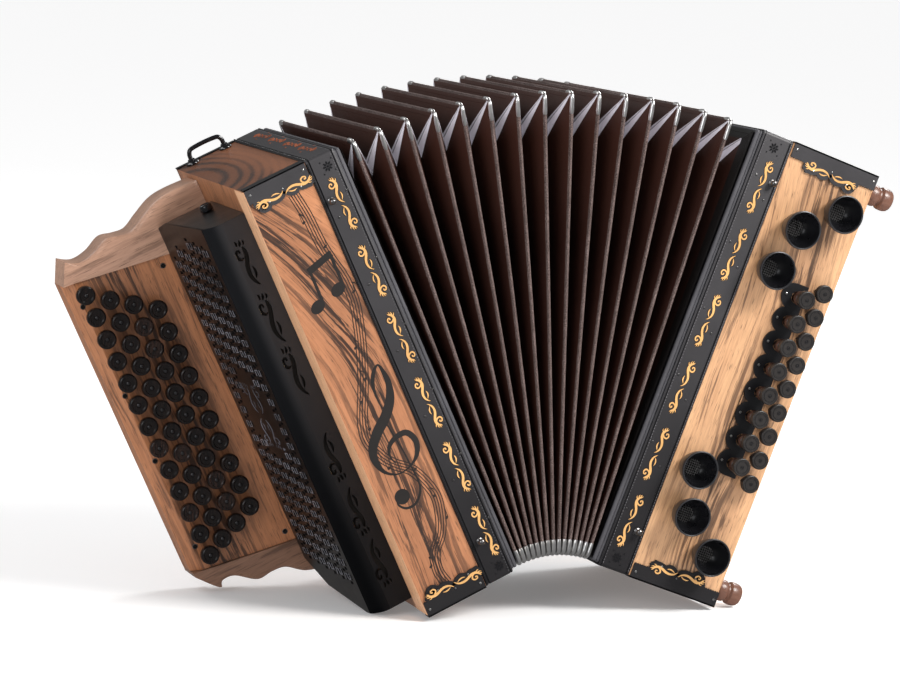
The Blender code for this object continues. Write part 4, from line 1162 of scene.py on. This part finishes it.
# all (u, w): where each end piece meets the board, and its free outline
TOP_JOINT = ((-212.0, 317.2), (-196.8, 316.0), (-152.4, 309.2), (-123.5, 304.8), (-70.0, 298.4))
LOW_JOINT = ((-212.0, 73.2), (-194.5, 70.2), (-147.8, 62.7), (-118.3, 58.5), (-70.0, 51.5))
UPPER = ((-196.5, 333.8), (-186.5, 328.6), (-174, 330), (-161, 335.6), (-150, 333.4), (-140, 332.6),
         (-128, 338.6), (-114, 345), (-100, 346.8), (TREBLE_END, 346))
LOWER = ((-205, 68.5), (-190.8, 52.6), (-186, 55.6), (-176, 54.4), (-161, 43.4), (-148, 43.6),
         (-137, 41.8), (-124, 32), (-108, 28), (TREBLE_END, 27))
SEAM_U = (TREBLE_END, -100, -118, -135, -152, -170, -185, -196, -205)
# v and how far the free edge is drawn in there, rounding its front and back
EDGE_ROUNDING = ((132.6, 5.2), (132.65, 4.0), (132.9, 2.8), (133.5, 1.6), (134.4, 0.7),
                 (135.6, 0.15), (137.0, 0.0), (160.4, 0.0), (161.6, 0.4), (162.3, 1.4))


def scroll_end(name, curve, joint, gap, start, wood):
    """Carved end of the board; the rounding fades in from point start of the free edge."""
    path = smooth_path(curve, 7)
    outline = path + [(u, interpolate(joint, u) + gap) for u in SEAM_U]
    closed = [outline[-1], *outline, outline[0]]
    area = sum(a[0] * b[1] - b[0] * a[1] for a, b in zip(closed[1:], closed[2:]))
    sign = 1.0 if area > 0 else -1.0
    loops = []
    for v, rounding in EDGE_ROUNDING:
        loop = []
        for i, (x, y) in enumerate(outline):
            dx, dy = direction(closed, i + 1)
            draw = 0.0
            if i < len(path) - 1:
                draw = rounding * min(1.0, max(0.0, (i - start) / 8.0)) * sign
            loop.append((x - dy * draw, v, y + dx * draw))
        loops.append(loop)
    piece(f"scroll_{name}_carved", [(*loft(loops), 0)], [wood], "treble",
          replaces="scroll_" + name, sharp=30)


scroll_end("upper", UPPER, TOP_JOINT, 0.15, 1, WOOD_SCROLL)
scroll_end("lower", LOWER, LOW_JOINT, -0.15, 9, WOOD_SCROLL_SHADED)

board = front(-135.0)
holes = []
for u, w in ((-128.9, 298.1), (-197.4, 296.7), (-196.2, 220.7), (-195.8, 164.7), (-194.9, 90), (-126.2, 67.9)):
    rim = [(2.15, 0.0), (2.2, 0.08), (2.0, 0.12), (1.65, 0.12), (1.6, 0.0)]
    holes.append((*turned(u, w, rim, board, 20, closed=True), 0))
    # Dark disc inside the rim: painted shade of the screw hole.
    holes.append((*turned(u, w, [(1.62, 0.0), (1.6, 0.06), (0.1, 0.07)], board, 20), 1))
piece("fingerboard_screws", holes, [STEEL_DARK, HOLE_SHADE], "treble")


# ------------------------------------------------------------------ perforated sheet

def inside_poly(x, y, poly):
    hit = False
    for (xi, yi), (xj, yj) in zip(poly, poly[-1:] + poly[:-1]):
        if (yi > y) != (yj > y) and x < (xj - xi) * (y - yi) / (yj - yi) + xi:
            hit = not hit
    return hit


def perforate(outline, holes, extra=()):
    """Points and triangles of a flat outline with the hole polygons taken out."""
    points, edges = [], []
    for poly in [outline] + holes:
        base = len(points)
        points += [Vector(p) for p in poly]
        edges += [(base + i, base + (i + 1) % len(poly)) for i in range(len(poly))]
    points += [Vector(p) for p in extra]
    verts, _, faces = delaunay_2d_cdt(points, edges, [], 0, 1e-4, False)[:3]
    boxes = [(min(p[0] for p in hole), max(p[0] for p in hole),
              min(p[1] for p in hole), max(p[1] for p in hole), hole) for hole in holes]
    keep = []
    for face in faces:
        x = sum(verts[i].x for i in face) / len(face)
        y = sum(verts[i].y for i in face) / len(face)
        if inside_poly(x, y, outline) and not any(
                x0 < x < x1 and y0 < y < y1 and inside_poly(x, y, hole)
                for x0, x1, y0, y1, hole in boxes):
            keep.append(tuple(face))
    return [(v.x, v.y) for v in verts], keep


def sheet(flat, tris, to_front, to_back):
    """Two skins of a perforated sheet (index 0) with walls round every opening (index 1)."""
    n = len(flat)
    verts = [to_front(*p) for p in flat] + [to_back(*p) for p in flat]
    faces = list(tris) + [tuple(reversed([i + n for i in t])) for t in tris]
    index = [0] * len(faces)
    edges = dict.fromkeys((a, b) for t in tris for a, b in zip(t, t[1:] + t[:1]))
    for a, b in edges:
        if (b, a) not in edges:
            faces.append((b, a, a + n, b + n))
            index.append(1)
    used = sorted({i for f in faces for i in f})
    remap = {old: new for new, old in enumerate(used)}
    return [verts[i] for i in used], [tuple(remap[i] for i in f) for f in faces], index


# scroll cut-outs kept apart by thin webs: lines of (x, y, half width)
CUT_SCROLL = (
    ((1.9, 0.5, 0.25), (0.5, 1.8, 0.55), (-1.0, 4.0, 0.80), (-1.6, 6.6, 0.95), (-1.0, 9.6, 1.0),
     (0.2, 12.2, 1.0), (1.0, 14.6, 0.95), (0.9, 16.6, 0.7), (0.4, 17.8, 0.25)),
    ((-1.0, 13.4, 0.25), (-2.6, 12.9, 0.6), (-4.2, 13.9, 0.7), (-4.6, 15.6, 0.65),
     (-3.6, 16.9, 0.55), (-2.4, 16.6, 0.5), (-2.3, 15.5, 0.35)),
    ((-0.9, 18.2, 0.25), (-0.1, 19.4, 0.6), (0.1, 20.8, 0.15)),
    ((1.6, 18.2, 0.2), (2.2, 19.2, 0.45), (1.9, 20.4, 0.12)),
    ((-2.4, 18.6, 0.25), (-2.2, 19.9, 0.5), (-2.9, 21.0, 0.12)),
    ((1.3, 9.0, 0.12), (2.1, 7.2, 0.50), (1.9, 5.2, 0.55), (1.0, 3.6, 0.2)),
)


def scroll_holes(x, y, sx, sy, widen):
    holes = []
    for line in CUT_SCROLL:
        points = [(x + a * sx, y + b * sy, half * widen) for a, b, half in line]
        left, right = flanks(points, 3, 0.12)
        holes.append(left + right[::-1])
    return holes


# ------------------------------------------------------------------ treble cover

COVER_LOW, COVER_HIGH = 10.0, 331.0
COVER_BACK = 133.2
COVER_THICK = 1.6
BEND_FRONT_U, BEND_BACK_V = -98.0, 37.0
# (u, v) round the bend from the front panel to the side panel
BEND_PATH = smooth_path([(BEND_FRONT_U, 24.4), (-101.0, 24.9), (-104.0, 26.6), (-107.0, 29.6),
                         (-109.6, 33.2), (-111.3, BEND_BACK_V)], 4)
FRONT_SCROLL_U = -91.6
FRONT_UP = ((310, 278), (267, 231), (223, 187))     # w of head and tail
FRONT_DOWN = ((116, 156), (70.5, 110), (27, 66))
MEDALLION_V, MEDALLION_W = 85.0, 172.0  # middle of the side panel's scrolls
CELL_V, CELL_W = 14.2, 12.3             # pitch of the slotted cells
CELL_HIGHLIGHT = ((5.6, -2.9), (5.6, 2.0), (0.9, 2.3), (0.9, -2.3), (-3.8, -2.0), (-3.8, 2.9))
CELL_SLOTS = (((3.3, -3.7), (3.2, 0.6)), ((-1.5, 3.7), (-1.4, -0.6)), ((5.6, 5.2), (0.6, 5.2)),
              ((-0.4, -5.1), (-5.0, -5.1)), ((-6.1, 2.6), (-6.1, -2.6)))
SLOT_HALF = 1.3
SIDE_OUTLINE = [(BEND_BACK_V, COVER_LOW), (43.0, COVER_LOW), (60, 14.3), (80, 18.7), (104.0, 23.0),
                (COVER_BACK, 43.0), (COVER_BACK, 325.5), (114.0, COVER_HIGH), (80, COVER_HIGH),
                (BEND_BACK_V, COVER_HIGH)]
LOW_EDGE = ((17.0, COVER_LOW), (43.0, COVER_LOW), (104.0, 23.0), (133.3, 43.0))  # (v, w)


def cover_front():
    def skin_v(u):
        return 25.0 - 0.6 * (TREBLE_END - u) / 18.7

    holes = []
    for head, tail in FRONT_UP:
        holes += scroll_holes(FRONT_SCROLL_U, tail - 1.0, 1.25, (head - tail + 6.0) / 21.0, 1.75)
    for head, tail in FRONT_DOWN:
        holes += scroll_holes(FRONT_SCROLL_U, tail, 1.25, (head - tail) / 21.0, 1.75)
    outline = [(BEND_FRONT_U, COVER_LOW), (TREBLE_END, COVER_LOW), (TREBLE_END, COVER_HIGH),
               (BEND_FRONT_U, COVER_HIGH)]
    flat, tris = perforate(outline, holes, [(-80.5, COVER_LOW + 8.0 * i) for i in range(1, 40)])
    return sheet(flat, tris, lambda u, w: (u, skin_v(u), w), lambda u, w: (u, skin_v(u) + COVER_THICK, w))


def side_u(v):
    return -111.3 - 9.9 * (v - BEND_BACK_V) / 96.2


def slot(a, b, v, w):
    """Straight slot from a to b in the cell at (v, w)."""
    along = (Vector(b) - Vector(a)).normalized()
    nv, nw = -along.y * SLOT_HALF, along.x * SLOT_HALF
    return [(v + (p[0] + nv * side), w + (p[1] + nw * side)) for p, side in ((a, 1), (b, 1), (b, -1), (a, -1))]


def cover_side():
    """Side panel: slotted cells with a painted highlight line in each, and scrolls in the middle."""
    holes, parts = [], []
    for column in range(6):
        v = 49.5 + CELL_V * column
        w = 40.0 + 2.1 * column
        low = 29.0 + max(0.0, v - 90.0) * 0.66
        high = 315.0 - max(0.0, v - 85.0) * 0.35
        while w < 322.0:
            clear = math.hypot((v - MEDALLION_V) / 27.0, (w - MEDALLION_W) / 36.0)
            if low < w < high and clear > 1.0:
                holes += [slot(a, b, v, w) for a, b in CELL_SLOTS]
                # Painted highlight stroke along the cell.
                line = [(v + a, w + b, 0.30) for a, b in CELL_HIGHLIGHT]
                parts.append((*stroke(line, lambda x, y, h: (side_u(x) - h, x, y), 0.2, 1, 0.1), 6))
            w += CELL_W
    for way in (1, -1):
        for mirror in (1, -1):
            holes += scroll_holes(MEDALLION_V - 7.0 * mirror, MEDALLION_W + 2.0 * way,
                                  1.6 * mirror, 1.2 * way, 1.1)
    flat, tris = perforate(SIDE_OUTLINE, holes)
    verts, faces, index = sheet(flat, tris, lambda v, w: (side_u(v), v, w),
                                lambda v, w: (side_u(v) + COVER_THICK, v + 0.15, w))

    def wall(face):
        """Pale cut edges, brightened with painted highlight, round the scrolls in the middle; the slot walls
        are near black, lacquer darkened with painted shade.
        """
        dv = sum(verts[i][1] for i in face) / len(face) - MEDALLION_V
        dw = sum(verts[i][2] for i in face) / len(face) - MEDALLION_W
        return 3 if abs(dv) < 24.0 and math.hypot(dv / 25.0, dw / 34.0) < 1.0 else 5

    parts.append((verts, faces, [wall(f) if i == 1 else 2 for f, i in zip(faces, index)]))
    return parts


def cover_bend():
    inner = []
    for i, (u, v) in enumerate(BEND_PATH):
        du, dv = direction(BEND_PATH, i)
        inner.append((u + dv * COVER_THICK, v - du * COVER_THICK))
    section = BEND_PATH + inner[::-1]
    heights = (COVER_LOW, 60.0, 110.0, 160.0, 210.0, 260.0, COVER_HIGH)
    return (*loft([[(u, v, w) for u, v in section] for w in heights]), 4)


def low_edge(v):
    return interpolate(LOW_EDGE, v)


def high_edge(v):
    return COVER_HIGH if v <= 114 else COVER_HIGH - 5.5 * (v - 114) / 21.0


def cover_end(edge, thick):
    """Top or bottom of the cover, in strips across u so that it can slope in v."""
    bend = [(v, u) for u, v in BEND_PATH]
    strips = []
    for v in (25.0, 30.0, 34.0, 37.0, 43.0, 55, 67, 80, 92, 104.0, 114.0, 124.0, COVER_BACK):
        u = (interpolate(bend, v) if v < BEND_BACK_V else side_u(v)) + 0.1
        w = edge(v)
        strips.append([(u, v, w), (TREBLE_END, v, w), (TREBLE_END, v, w + thick), (u, v, w + thick)])
    return (*loft(strips), 2)


def cover_liner():
    """Thin backing behind the front panel."""
    corners = ((-97.0, 12.0), (-80.2, 12.0), (-80.2, 329.0), (-97.0, 329.0))
    return (*loft([[(u, v, w) for u, w in corners] for v in (27.6, 28.0)]), 1)


piece("treble_cover_sheet",
      [cover_front(), *cover_side(), cover_liner(), cover_bend(),
       cover_end(high_edge, -COVER_THICK), cover_end(low_edge, COVER_THICK)],
      [COVER_MAT, BRONZE, COVER_SIDE, CUT_EDGE, BEND, SLOT_WALL_SHADE, HIGHLIGHT_LIP], "treble",
      replaces="treble_cover", sharp=32)

KNOB_U, KNOB_V = -91.0, 86.0
# radius, w, flute depth
KNOB_PROFILE = ((1.9, 325.0, 0), (1.9, 331.4, 0), (4.2, 331.4, 0), (4.75, 331.9, 0.16),
                (4.75, 335.6, 0.16), (4.3, 336.5, 0), (3.4, 336.9, 0), (3.2, 336.6, 0), (0.8, 336.6, 0))


def thumb_screw():
    loops = [[(KNOB_U + (r + flute * (i % 2)) * c, KNOB_V + (r + flute * (i % 2)) * s, w)
              for i, (c, s) in enumerate(circle(36))] for r, w, flute in KNOB_PROFILE]
    corners = ((-3.4, -0.4), (3.4, -0.4), (3.4, 0.4), (-3.4, 0.4))
    cut = loft([[(KNOB_U + a, KNOB_V + b, w) for a, b in corners] for w in (336.65, 336.75)])
    piece("cover_thumb_screw", [(*loft(loops), 0), (*cut, 1)], [BLACK_GLOSS, HOLE_SHADE],
          "treble", body="cover_screw", replaces="cover_screw", sharp=50)


thumb_screw()


# ------------------------------------------------------------------ buttons

# count, (u, w) of the top button, (u, w) of the bottom one
TREBLE_ROWS = {"a": (13, (-193.6, 305.8), (-188.7, 81.6)), "b": (12, (-178.3, 294.5), (-174.9, 88.9)),
               "c": (11, (-163.3, 283.5), (-160.0, 95.0)), "d": (10, (-147.9, 271.9), (-145.3, 101.9))}
BASS_INNER = (8, (80.6, 242.1), (79.9, 106.5))
BASS_OUTER = (9, (96.8, 251.8), (95.9, 96.7))
# treble cap and the stud in it: (radius, height)
TREBLE_CAP = ((2.55, -26.5), (2.55, -6.0), (6.6, -6.0), (7.1, -5.6), (7.3, -4.9), (7.3, -2.0),
              (7.2, -1.2), (6.85, -0.55), (6.3, -0.12), (5.6, 0.0), (5.0, -0.12), (4.7, -0.4),
              (4.3, -0.42), (3.0, -0.40), (1.9, -0.42), (1.6, -0.7), (1.5, -0.95))
TREBLE_STUD = ((1.35, -0.97), (1.35, -0.7), (1.1, -0.45), (0.7, -0.35), (0.62, -0.65), (0.1, -0.65))


def row_points(row):
    count, first, last = row
    return [tuple(a + (b - a) * i / (count - 1) for a, b in zip(first, last)) for i in range(count)]


def rail(points, v0, v1):
    """Bar behind a row, inside the case."""
    (u0, w0), (u1, w1) = points[0], points[-1]
    return (*loft([[(u0 - 2, v, w0 + 4), (u0 + 2, v, w0 + 4), (u1 + 2, v, w1 - 4), (u1 - 2, v, w1 - 4)]
                   for v in (v0, v1)]), 2)


def treble_row(key, row):
    points = row_points(row)
    place = front(-122.0)
    parts = []
    for x, y in points:
        tone = random.random()
        tone = 1.0 if tone > 0.8 else 0.25 * tone
        parts.append((*turned(x, y, TREBLE_CAP, place, 30), 0, tone))
        parts.append((*turned(x, y, TREBLE_STUD, place, 18), 1))
    parts.append(rail(points, 147.0, 150.5))
    piece("treble_caps_" + key, parts, [EBONY, STUD, STEM], "treble",
          body="treble_row_" + key, replaces="treble_buttons_" + key, sharp=40)


def bass_button(x, y, h):
    """Cap with two raised rings and a stud, on a brown stem; h is the height of its top."""
    place = front()
    cap = [(3.1, -13.0), (3.1, h - 4.9), (6.3, h - 4.9), (6.9, h - 4.5), (7.0, h - 3.9), (7.0, h - 0.9),
           (6.85, h - 0.35), (6.4, h), (5.9, h), (5.75, h - 0.25), (5.3, h - 0.3), (0.9, h - 0.3)]
    wide_ring = [(4.9, h - 0.32), (4.8, h - 0.12), (4.5, h - 0.12), (4.4, h - 0.32)]
    small_ring = [(1.5, h - 0.35), (1.5, h - 0.15), (1.1, h - 0.15), (1.05, h - 0.35)]
    stud = [(0.7, h - 0.35), (0.7, h - 0.1), (0.2, h)]
    stem = [(3.12, 0.3), (3.16, 0.4), (3.16, h - 5.0), (3.12, h - 4.9)]
    parts = [(*turned(x, y, cap, place), 0),
             (*turned(x, y, wide_ring, place, 28, closed=True), 1),
             (*turned(x, y, small_ring, place, 16, closed=True), 1),
             (*turned(x, y, stud, place, 12), 3),
             (*turned(x, y, stem, place, 18), 2)]
    if h > 15.0:
        collar = [(3.1, 6.6), (5.2, 6.6), (5.6, 7.0), (5.6, 10.4), (5.2, 10.9), (4.7, 11.2),
                  (4.7, 12.0), (5.3, 12.5), (5.6, 13.2), (5.6, h - 4.9)]
        parts.append((*turned(x, y, collar, place, 26), 2))
    return parts


def bass_row(label, row, height):
    points = row_points(row)
    parts = [part for x, y in points for part in bass_button(x, y, height)]
    parts.append(rail(points, 11.0, 14.0))
    piece("bass_caps_" + label, parts, [BASS_CAP, BLACK, STEM, STUD], "bass",
          body="bass_row_" + label, replaces="bass_buttons_" + label, sharp=40)


def scalloped_plate():
    """Plate under the inner bass row, with a lobe and a screw beside each bore."""
    radius = 10.3
    centres = row_points(BASS_INNER)
    half_pitch = (centres[0][1] - centres[-1][1]) / 14.0
    cusp = math.asin(half_pitch / radius)
    outline = []
    for number, (u, w) in enumerate(centres):
        a = math.pi / 2 if number == 0 else math.pi - cusp
        b = math.pi + cusp if number < 7 else 3 * math.pi / 2
        for i in range(15):
            t = a + (b - a) * i / 14
            outline.append((u - 3.0 + radius * math.cos(t), w + radius * math.sin(t)))
    outline += [(centres[-1][0] + 6.5, centres[-1][1] - radius), (centres[0][0] + 6.5, centres[0][1] + radius)]
    bores = [[(u + 4.8 * c, w + 4.8 * s) for c, s in circle(24)] for u, w in centres]
    flat, tris = perforate(outline, bores)
    verts, faces, _ = sheet(flat, tris, lambda u, w: (u, -1.7, w), lambda u, w: (u, -0.2, w))
    parts = [(verts, faces, 0)]
    for u, w in centres:
        parts += screw(u - 9.6, w, front(1.7), 1.0, 0.6, any_turn(), 1)
    ease(piece("bass_scalloped_plate", parts, [BLACK, STEEL, HOLE_SHADE], "bass",
               replaces="bass_button_plate"), 0.25)


for key, row in TREBLE_ROWS.items():
    treble_row(key, row)
bass_row("inner", BASS_INNER, 20.0)
bass_row("outer", BASS_OUTER, 12.0)
scalloped_plate()


# ------------------------------------------------------------------ horns

HORNS = ((84.9, 313.2), (56.5, 290.2), (48.8, 254.8), (48.0, 93.5), (56.2, 58.2), (83.7, 34.6))
# bell wall, up the outside and down the inside: (radius, height)
BELL_PROFILE = (
    (6.0, -9.0), (6.0, 0.2), (8.0, 0.3), (9.4, 1.6), (10.4, 3.6), (11.5, 6.6), (12.7, 10.2),
    (13.7, 14.0), (14.4, 17.6), (14.7, 19.6), (14.75, 20.3), (14.5, 20.9), (14.0, 21.1),
    (13.5, 20.8), (13.3, 20.2), (13.2, 18.6), (12.8, 15.6), (12.1, 12.8), (11.1, 10.3), (9.9, 8.2),
    (8.6, 6.6), (7.4, 5.5), (6.4, 4.8), (5.9, 4.3), (5.4, 3.0), (4.7, 1.0), (4.7, -9.0))
GAUZE_RADIUS, GAUZE_PITCH, WIRE = 6.6, 1.75, 0.22


def bell_slot(verts, face, x, y):
    """Inside of a bell near black, painted shade; its rim and outside lighter, in the bell's own colour."""
    u, v, w = (sum(verts[i][k] for i in face) / len(face) for k in range(3))
    r, height = math.hypot(u - x, w - y), -v
    wall = 8.0 + 6.2 * min(1.0, max(0.0, height / 19.0)) ** 0.75
    return 0 if 0.35 <= height < 20.1 and r < wall - 0.2 else 3


def gauze_wire(x, y, offset, upright):
    """Square wire at an offset from the throat's centre, arched over a low dome."""
    place = front()
    reach = math.sqrt(GAUZE_RADIUS ** 2 - offset ** 2)
    loops = []
    for i in range(9):
        t = -reach + 2 * reach * i / 8
        height = 4.9 + (1 - (offset ** 2 + t * t) / GAUZE_RADIUS ** 2) + (0.12 if upright else -0.12)
        loop = []
        for across, up in ((-WIRE, 0.0), (0.0, WIRE), (WIRE, 0.0), (0.0, -WIRE)):
            dx, dy = (offset + across, t) if upright else (t, offset + across)
            loop.append(place(x + dx, y + dy, height + up))
        loops.append(loop)
    return (*loft(loops), 1)


def horn(number, x, y):
    verts, faces = turned(x, y, BELL_PROFILE, front(), 56, closed=True)
    parts = [(verts, faces, [bell_slot(verts, f, x, y) for f in faces])]
    count = int(GAUZE_RADIUS / GAUZE_PITCH)
    for i in range(-count, count + 1):
        for upright in (False, True):
            parts.append(gauze_wire(x, y, i * GAUZE_PITCH, upright))
    # Dark disc under the gauze: painted shade of the throat.
    parts.append((*turned(x, y, [(5.8, 3.6), (0.2, 3.7)], front(), 24), 2))
    piece(f"horn_{number}_bell", parts, [HORN_INSIDE_SHADE, GAUZE, HOLE_SHADE, BELL], "bass",
          replaces=f"horn_{number}", sharp=45)


for number, (x, y) in enumerate(HORNS, 1):
    horn(number, x, y)


# ------------------------------------------------------------------ feet, strap, air button

FOOT_PROFILE = (
    (7.6, 0.1), (7.9, 0.8), (8.3, 3.0), (8.45, 5.4), (8.2, 6.6), (7.4, 7.3), (6.8, 7.9), (6.65, 8.6),
    (6.9, 9.4), (7.8, 10.0), (8.6, 10.7), (8.9, 12.0), (8.95, 14.6), (8.7, 16.8), (8.1, 18.4),
    (7.2, 19.4), (5.6, 19.9), (3.0, 20.1), (0.4, 20.1))
for label, v, w in (("front_top", 8.5, 337), ("front_bottom", 8.5, 12.5),
                    ("back_top", 176, 337), ("back_bottom", 176, 12.5)):
    piece(f"foot_{label}_turned", [(*turned(v, w, FOOT_PROFILE, bass_end(), 40), 0)], [WOOD_FOOT],
          "bass", replaces="foot_" + label)

# padded section of the strap: (v, thickness out from its middle line)
STRAP_SECTION = (
    (114.0, -0.4), (114.3, -1.2), (115.2, -1.5), (140.0, -1.6), (164.8, -1.5), (165.7, -1.2),
    (166.0, -0.4), (166.0, 0.5), (165.6, 1.2), (164.6, 1.45), (161.5, 1.45), (160.9, 1.15),
    (160.3, 1.5), (152.0, 2.0), (140.0, 2.3), (128.0, 2.0), (119.7, 1.5), (119.1, 1.15),
    (118.5, 1.45), (115.4, 1.45), (114.4, 1.2), (114.0, 0.5))


def strap_stitches(path):
    parts = []
    for v in (117.2, 162.8):
        for i in range(1, len(path) - 1):
            (u, w), (next_u, next_w) = path[i], path[i + 1]
            du, dw = direction(path, i)
            normal, along = Vector((dw, 0.0, -du)), Vector((du, 0.0, dw))
            for share in (0.0, 0.5):
                centre = Vector((u + (next_u - u) * share, v, w + (next_w - w) * share)) + normal * 1.42
                base = [centre + along * a + Vector((0.0, b, 0.0))
                        for a, b in ((1, -0.28), (-1, -0.28), (-1, 0.28), (1, 0.28))]
                base = [base[1], base[0], base[3], base[2]]
                crown = [p + normal * 0.35 + (centre - p) * 0.4 for p in base]
                parts.append((*loft([base, crown]), 1))
    return parts


def hand_strap():
    """Stitched strap bowed out from the bass end, held by a screwed plate at each end."""
    rest = BASS_END + 1.9
    path = [(rest, 22.0), (rest, 28.0)]
    path += [(rest + 26.0 * math.sin(math.pi * i / 48) ** 1.3, 34.0 + 282.0 * i / 48) for i in range(48)]
    path += [(rest, 316.0), (rest, 322.0), (rest, 328.0)]
    loops = []
    for i, (u, w) in enumerate(path):
        du, dw = direction(path, i)
        thin = 0.75 if i in (0, len(path) - 1) else 1.0
        loops.append([(u + dw * t * thin, v, w - du * t * thin) for v, t in STRAP_SECTION])
    parts = [(*loft(loops), 0)] + strap_stitches(path)
    for w0 in (28.0, 322.0):
        corners = ((118, w0 - 5), (162, w0 - 5), (163, w0), (162, w0 + 5), (118, w0 + 5), (117, w0))
        parts.append((*loft([[(BASS_END + out, v, w) for v, w in corners] for out in (3.2, 4.3)]), 2))
        for v in (125.0, 140.0, 155.0):
            parts += screw(v, w0, bass_end(4.3), 1.9, 1.0, any_turn(), 3)
    piece("hand_strap_leather", parts, [STRAP, THREAD, BLACK, STEEL, HOLE_SHADE], "bass",
          replaces="hand_strap")


hand_strap()

AIR_V, AIR_W = 62.0, 236.0
AIR_BUTTON = ((2.6, -16.0), (2.6, 3.4), (6.4, 3.4), (6.9, 3.8), (7.0, 4.6), (7.0, 7.2), (6.7, 8.1),
              (6.0, 8.6), (5.2, 8.6), (3.6, 8.1), (1.8, 7.85), (0.3, 7.8))
AIR_RING = ((9.6, 0.02), (9.8, 0.7), (9.4, 1.2), (8.2, 1.2), (7.9, 0.02))
piece("air_button_turned", [(*turned(AIR_V, AIR_W, AIR_BUTTON, bass_end(), 36), 0)], [STEEL],
      "bass", body="air_button", replaces="air_button")
piece("air_button_ring", [(*turned(AIR_V, AIR_W, AIR_RING, bass_end(), closed=True), 0)], [BLACK],
      "bass")


# ------------------------------------------------------------------ studio

def floor_material():
    """Pale floor that glows more with distance, and is dim in reflections."""
    m = Mat("pale_floor")
    ray = m.node("ShaderNodeLightPath").outputs
    away = m.node("ShaderNodeVectorMath", {0: m.coord()}, operation="LENGTH").outputs["Value"]
    seen = m.map_range(away, from_min=0.7, from_max=3.2, to_min=0.15, to_max=0.52, smooth=True)
    glow = m.map_range(ray["Is Camera Ray"], to_min=0.22, to_max=seen)
    for key, value in (("Base Color", (0.93, 0.93, 0.935)), ("Roughness", 0.6),
                       ("Emission Color", (1.0, 1.0, 1.0)), ("Emission Strength", glow)):
        m.put(m.shader.inputs[key], value)
    dim = m.node("ShaderNodeEmission", {"Color": (1.0, 1.0, 1.0), "Strength": 0.17})
    pick = m.node("ShaderNodeMixShader", {0: ray["Is Glossy Ray"], 1: m.shader.outputs[0],
                                          2: dim.outputs[0]})
    m.put(m.tree.nodes["Material Output"].inputs["Surface"], pick.outputs[0])
    return m.material


def studio_world():
    """White world, full strength to the camera and weaker in reflections than as light."""
    world = bpy.data.worlds.new("studio")
    bpy.context.scene.world = world
    world.use_nodes = True
    n = Nodes(world.node_tree)
    ray = n.node("ShaderNodeLightPath").outputs
    glossy = n.map_range(ray["Is Glossy Ray"], to_min=0.52, to_max=0.14)
    background = n.tree.nodes["Background"]
    n.put(background.inputs[0], (1.0, 1.0, 1.0))
    n.put(background.inputs[1], n.math("MAXIMUM", ray["Is Camera Ray"], glossy))


def lamp(name, location, target, size, power, colour=(1, 1, 1)):
    """Square area light aimed at a target; metres and watts."""
    data = bpy.data.lights.new(name, "AREA")
    data.shape = "RECTANGLE"
    data.size = data.size_y = size
    data.energy = power
    data.color = colour
    obj = bpy.data.objects.new(name, data)
    bpy.context.scene.collection.objects.link(obj)
    obj.location = location
    aim = Vector(target) - Vector(location)
    obj.rotation_euler = aim.to_track_quat("-Z", "Y").to_euler()


def camera():
    """Long lens aimed in a level frame (mm), which is then tilted about Y and shifted."""
    azimuth, elevation = math.radians(-19.290825), math.radians(8.243721)
    target, distance = Vector((-22.416622, 94.01, 152.778234)), 2789.088
    tilt = Matrix.Rotation(math.radians(-1.8283), 3, "Y")
    shift = Vector((11.02, -84.35, 38.97))
    backward = Vector((math.sin(azimuth) * math.cos(elevation),
                       -math.cos(azimuth) * math.cos(elevation), math.sin(elevation)))
    right = (-backward).cross(Vector((0, 0, 1))).normalized()
    up = right.cross(-backward)
    position = (tilt @ (target + backward * distance) + shift) * MM
    data = bpy.data.cameras.new("camera")
    data.sensor_width = 36.0
    data.lens = 145.73
    data.clip_end = 50.0
    obj = bpy.data.objects.new("camera", data)
    bpy.context.scene.collection.objects.link(obj)
    axes = (tilt @ right, tilt @ up, tilt @ backward, position)
    obj.matrix_world = Matrix([[axis[i] for axis in axes] for i in range(3)] + [[0, 0, 0, 1]])
    bpy.context.scene.camera = obj


bpy.ops.mesh.primitive_plane_add(size=90.0, location=(0.0, 0.0, 0.0))
floor = bpy.context.object
floor.name = "studio_floor"
floor.data.materials.append(floor_material())
studio_world()
lamp("key", (1.25, -1.35, 1.55), target=(0.0, 0.0, 0.18), size=0.75, power=60, colour=(1.0, 0.985, 0.96))
lamp("fill", (-1.7, -1.5, 0.9), target=(0.0, 0.0, 0.15), size=1.0, power=13, colour=(0.95, 0.97, 1.0))
lamp("back_left", (-1.1, 1.2, 1.5), target=(-0.1, 0.0, 0.2), size=1.0, power=7)
lamp("rim", (1.4, 1.2, 1.5), target=(0.0, 0.0, 0.2), size=0.7, power=22)
camera()
bpy.context.scene.view_settings.view_transform = "Standard"
